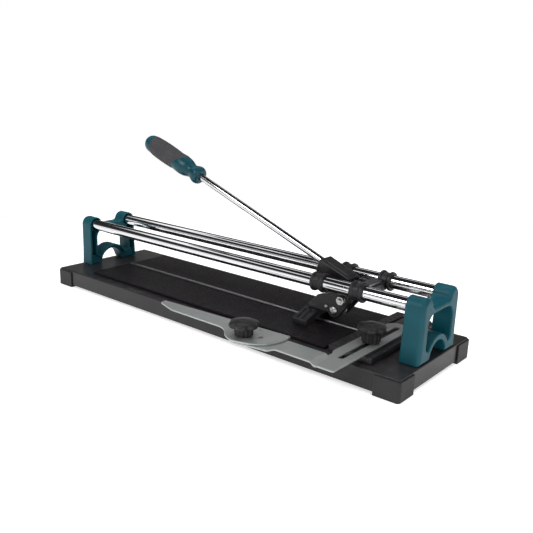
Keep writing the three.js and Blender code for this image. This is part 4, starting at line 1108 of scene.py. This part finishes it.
floor_mesh = bpy.data.meshes.new("floor")
floor_mesh.from_pydata([(x, y, 0) for x, y in circle(0, 0, FLOOR_RADIUS, 96)], [], [tuple(range(96))])
floor_mesh.materials.append(white_floor())
add_object("floor", floor_mesh)

world = bpy.data.worlds.new("studio")
scene.world = world
world.use_nodes = True
tree = world.node_tree
direction = add_node(tree, "ShaderNodeTexCoord", {}).outputs["Generated"]
apart = add_node(tree, "ShaderNodeSeparateXYZ", {0: direction})
ramp = add_node(tree, "ShaderNodeValToRGB", {"Fac": apart.outputs["Z"]})
# What the chrome mirrors: the sine of the elevation, and the brightness there.
BANDS = [(0.0, 0.9), (0.02, 1.0), (0.13, 1.0), (0.17, 0.06), (0.42, 0.04), (0.48, 0.02),
         (0.63, 0.02), (0.67, 1.2), (0.71, 1.2), (0.74, 0.02), (1.0, 0.02)]
elements = ramp.color_ramp.elements
for position, value in BANDS[1:-1]:
    elements.new(position)
for element, (position, value) in zip(elements, BANDS):
    element.position, element.color = position, (value, value, value, 1)
camera_ray = add_node(tree, "ShaderNodeLightPath", {}).outputs["Is Camera Ray"]
inputs = {"Factor": camera_ray, 6: ramp.outputs["Color"], 7: (1, 1, 1, 1)}
seen = add_node(tree, "ShaderNodeMix", inputs, data_type="RGBA")
feed(tree, tree.nodes["Background"], {"Color": seen.outputs[2], "Strength": 1.0})


def lamp(name, location, target, size, power, mirrored=True):
    light = bpy.data.lights.new(name, "AREA")
    light.shape = "RECTANGLE"
    light.size, light.size_y = size
    light.energy = power
    obj = add_object(name, light)
    obj.visible_glossy = mirrored
    obj.location = location
    obj.rotation_euler = (Vector(target) - Vector(location)).to_track_quat("-Z", "Y").to_euler()


lamp("key", (-0.45, -1.6, 1.45), (0, 0, 0.05), (0.9, 0.8), 14)
lamp("fill", (1.7, -1.0, 0.9), (0.05, 0, 0.05), (0.9, 1.3), 8)
lamp("top", (0.1, 0.3, 2.0), (0, 0, 0), (2.2, 1.2), 34, mirrored=False)
scene.view_settings.view_transform = "Standard"

LENS_MM = 45.17
YAW, PITCH, ROLL = radians(39.042), radians(15.478), radians(1.991)
CAMERA_AT = Vector((0.57742, -0.62178, 0.31263))
camera = add_object("camera", bpy.data.cameras.new("camera"))
camera.data.sensor_width = 36
camera.data.lens = LENS_MM
camera.data.clip_start = 0.02
turn = Matrix.Rotation(YAW, 4, "Z") @ Matrix.Rotation(pi / 2 - PITCH, 4, "X") @ Matrix.Rotation(ROLL, 4, "Z")
camera.matrix_world = Matrix.Translation(CAMERA_AT) @ turn
scene.camera = camera
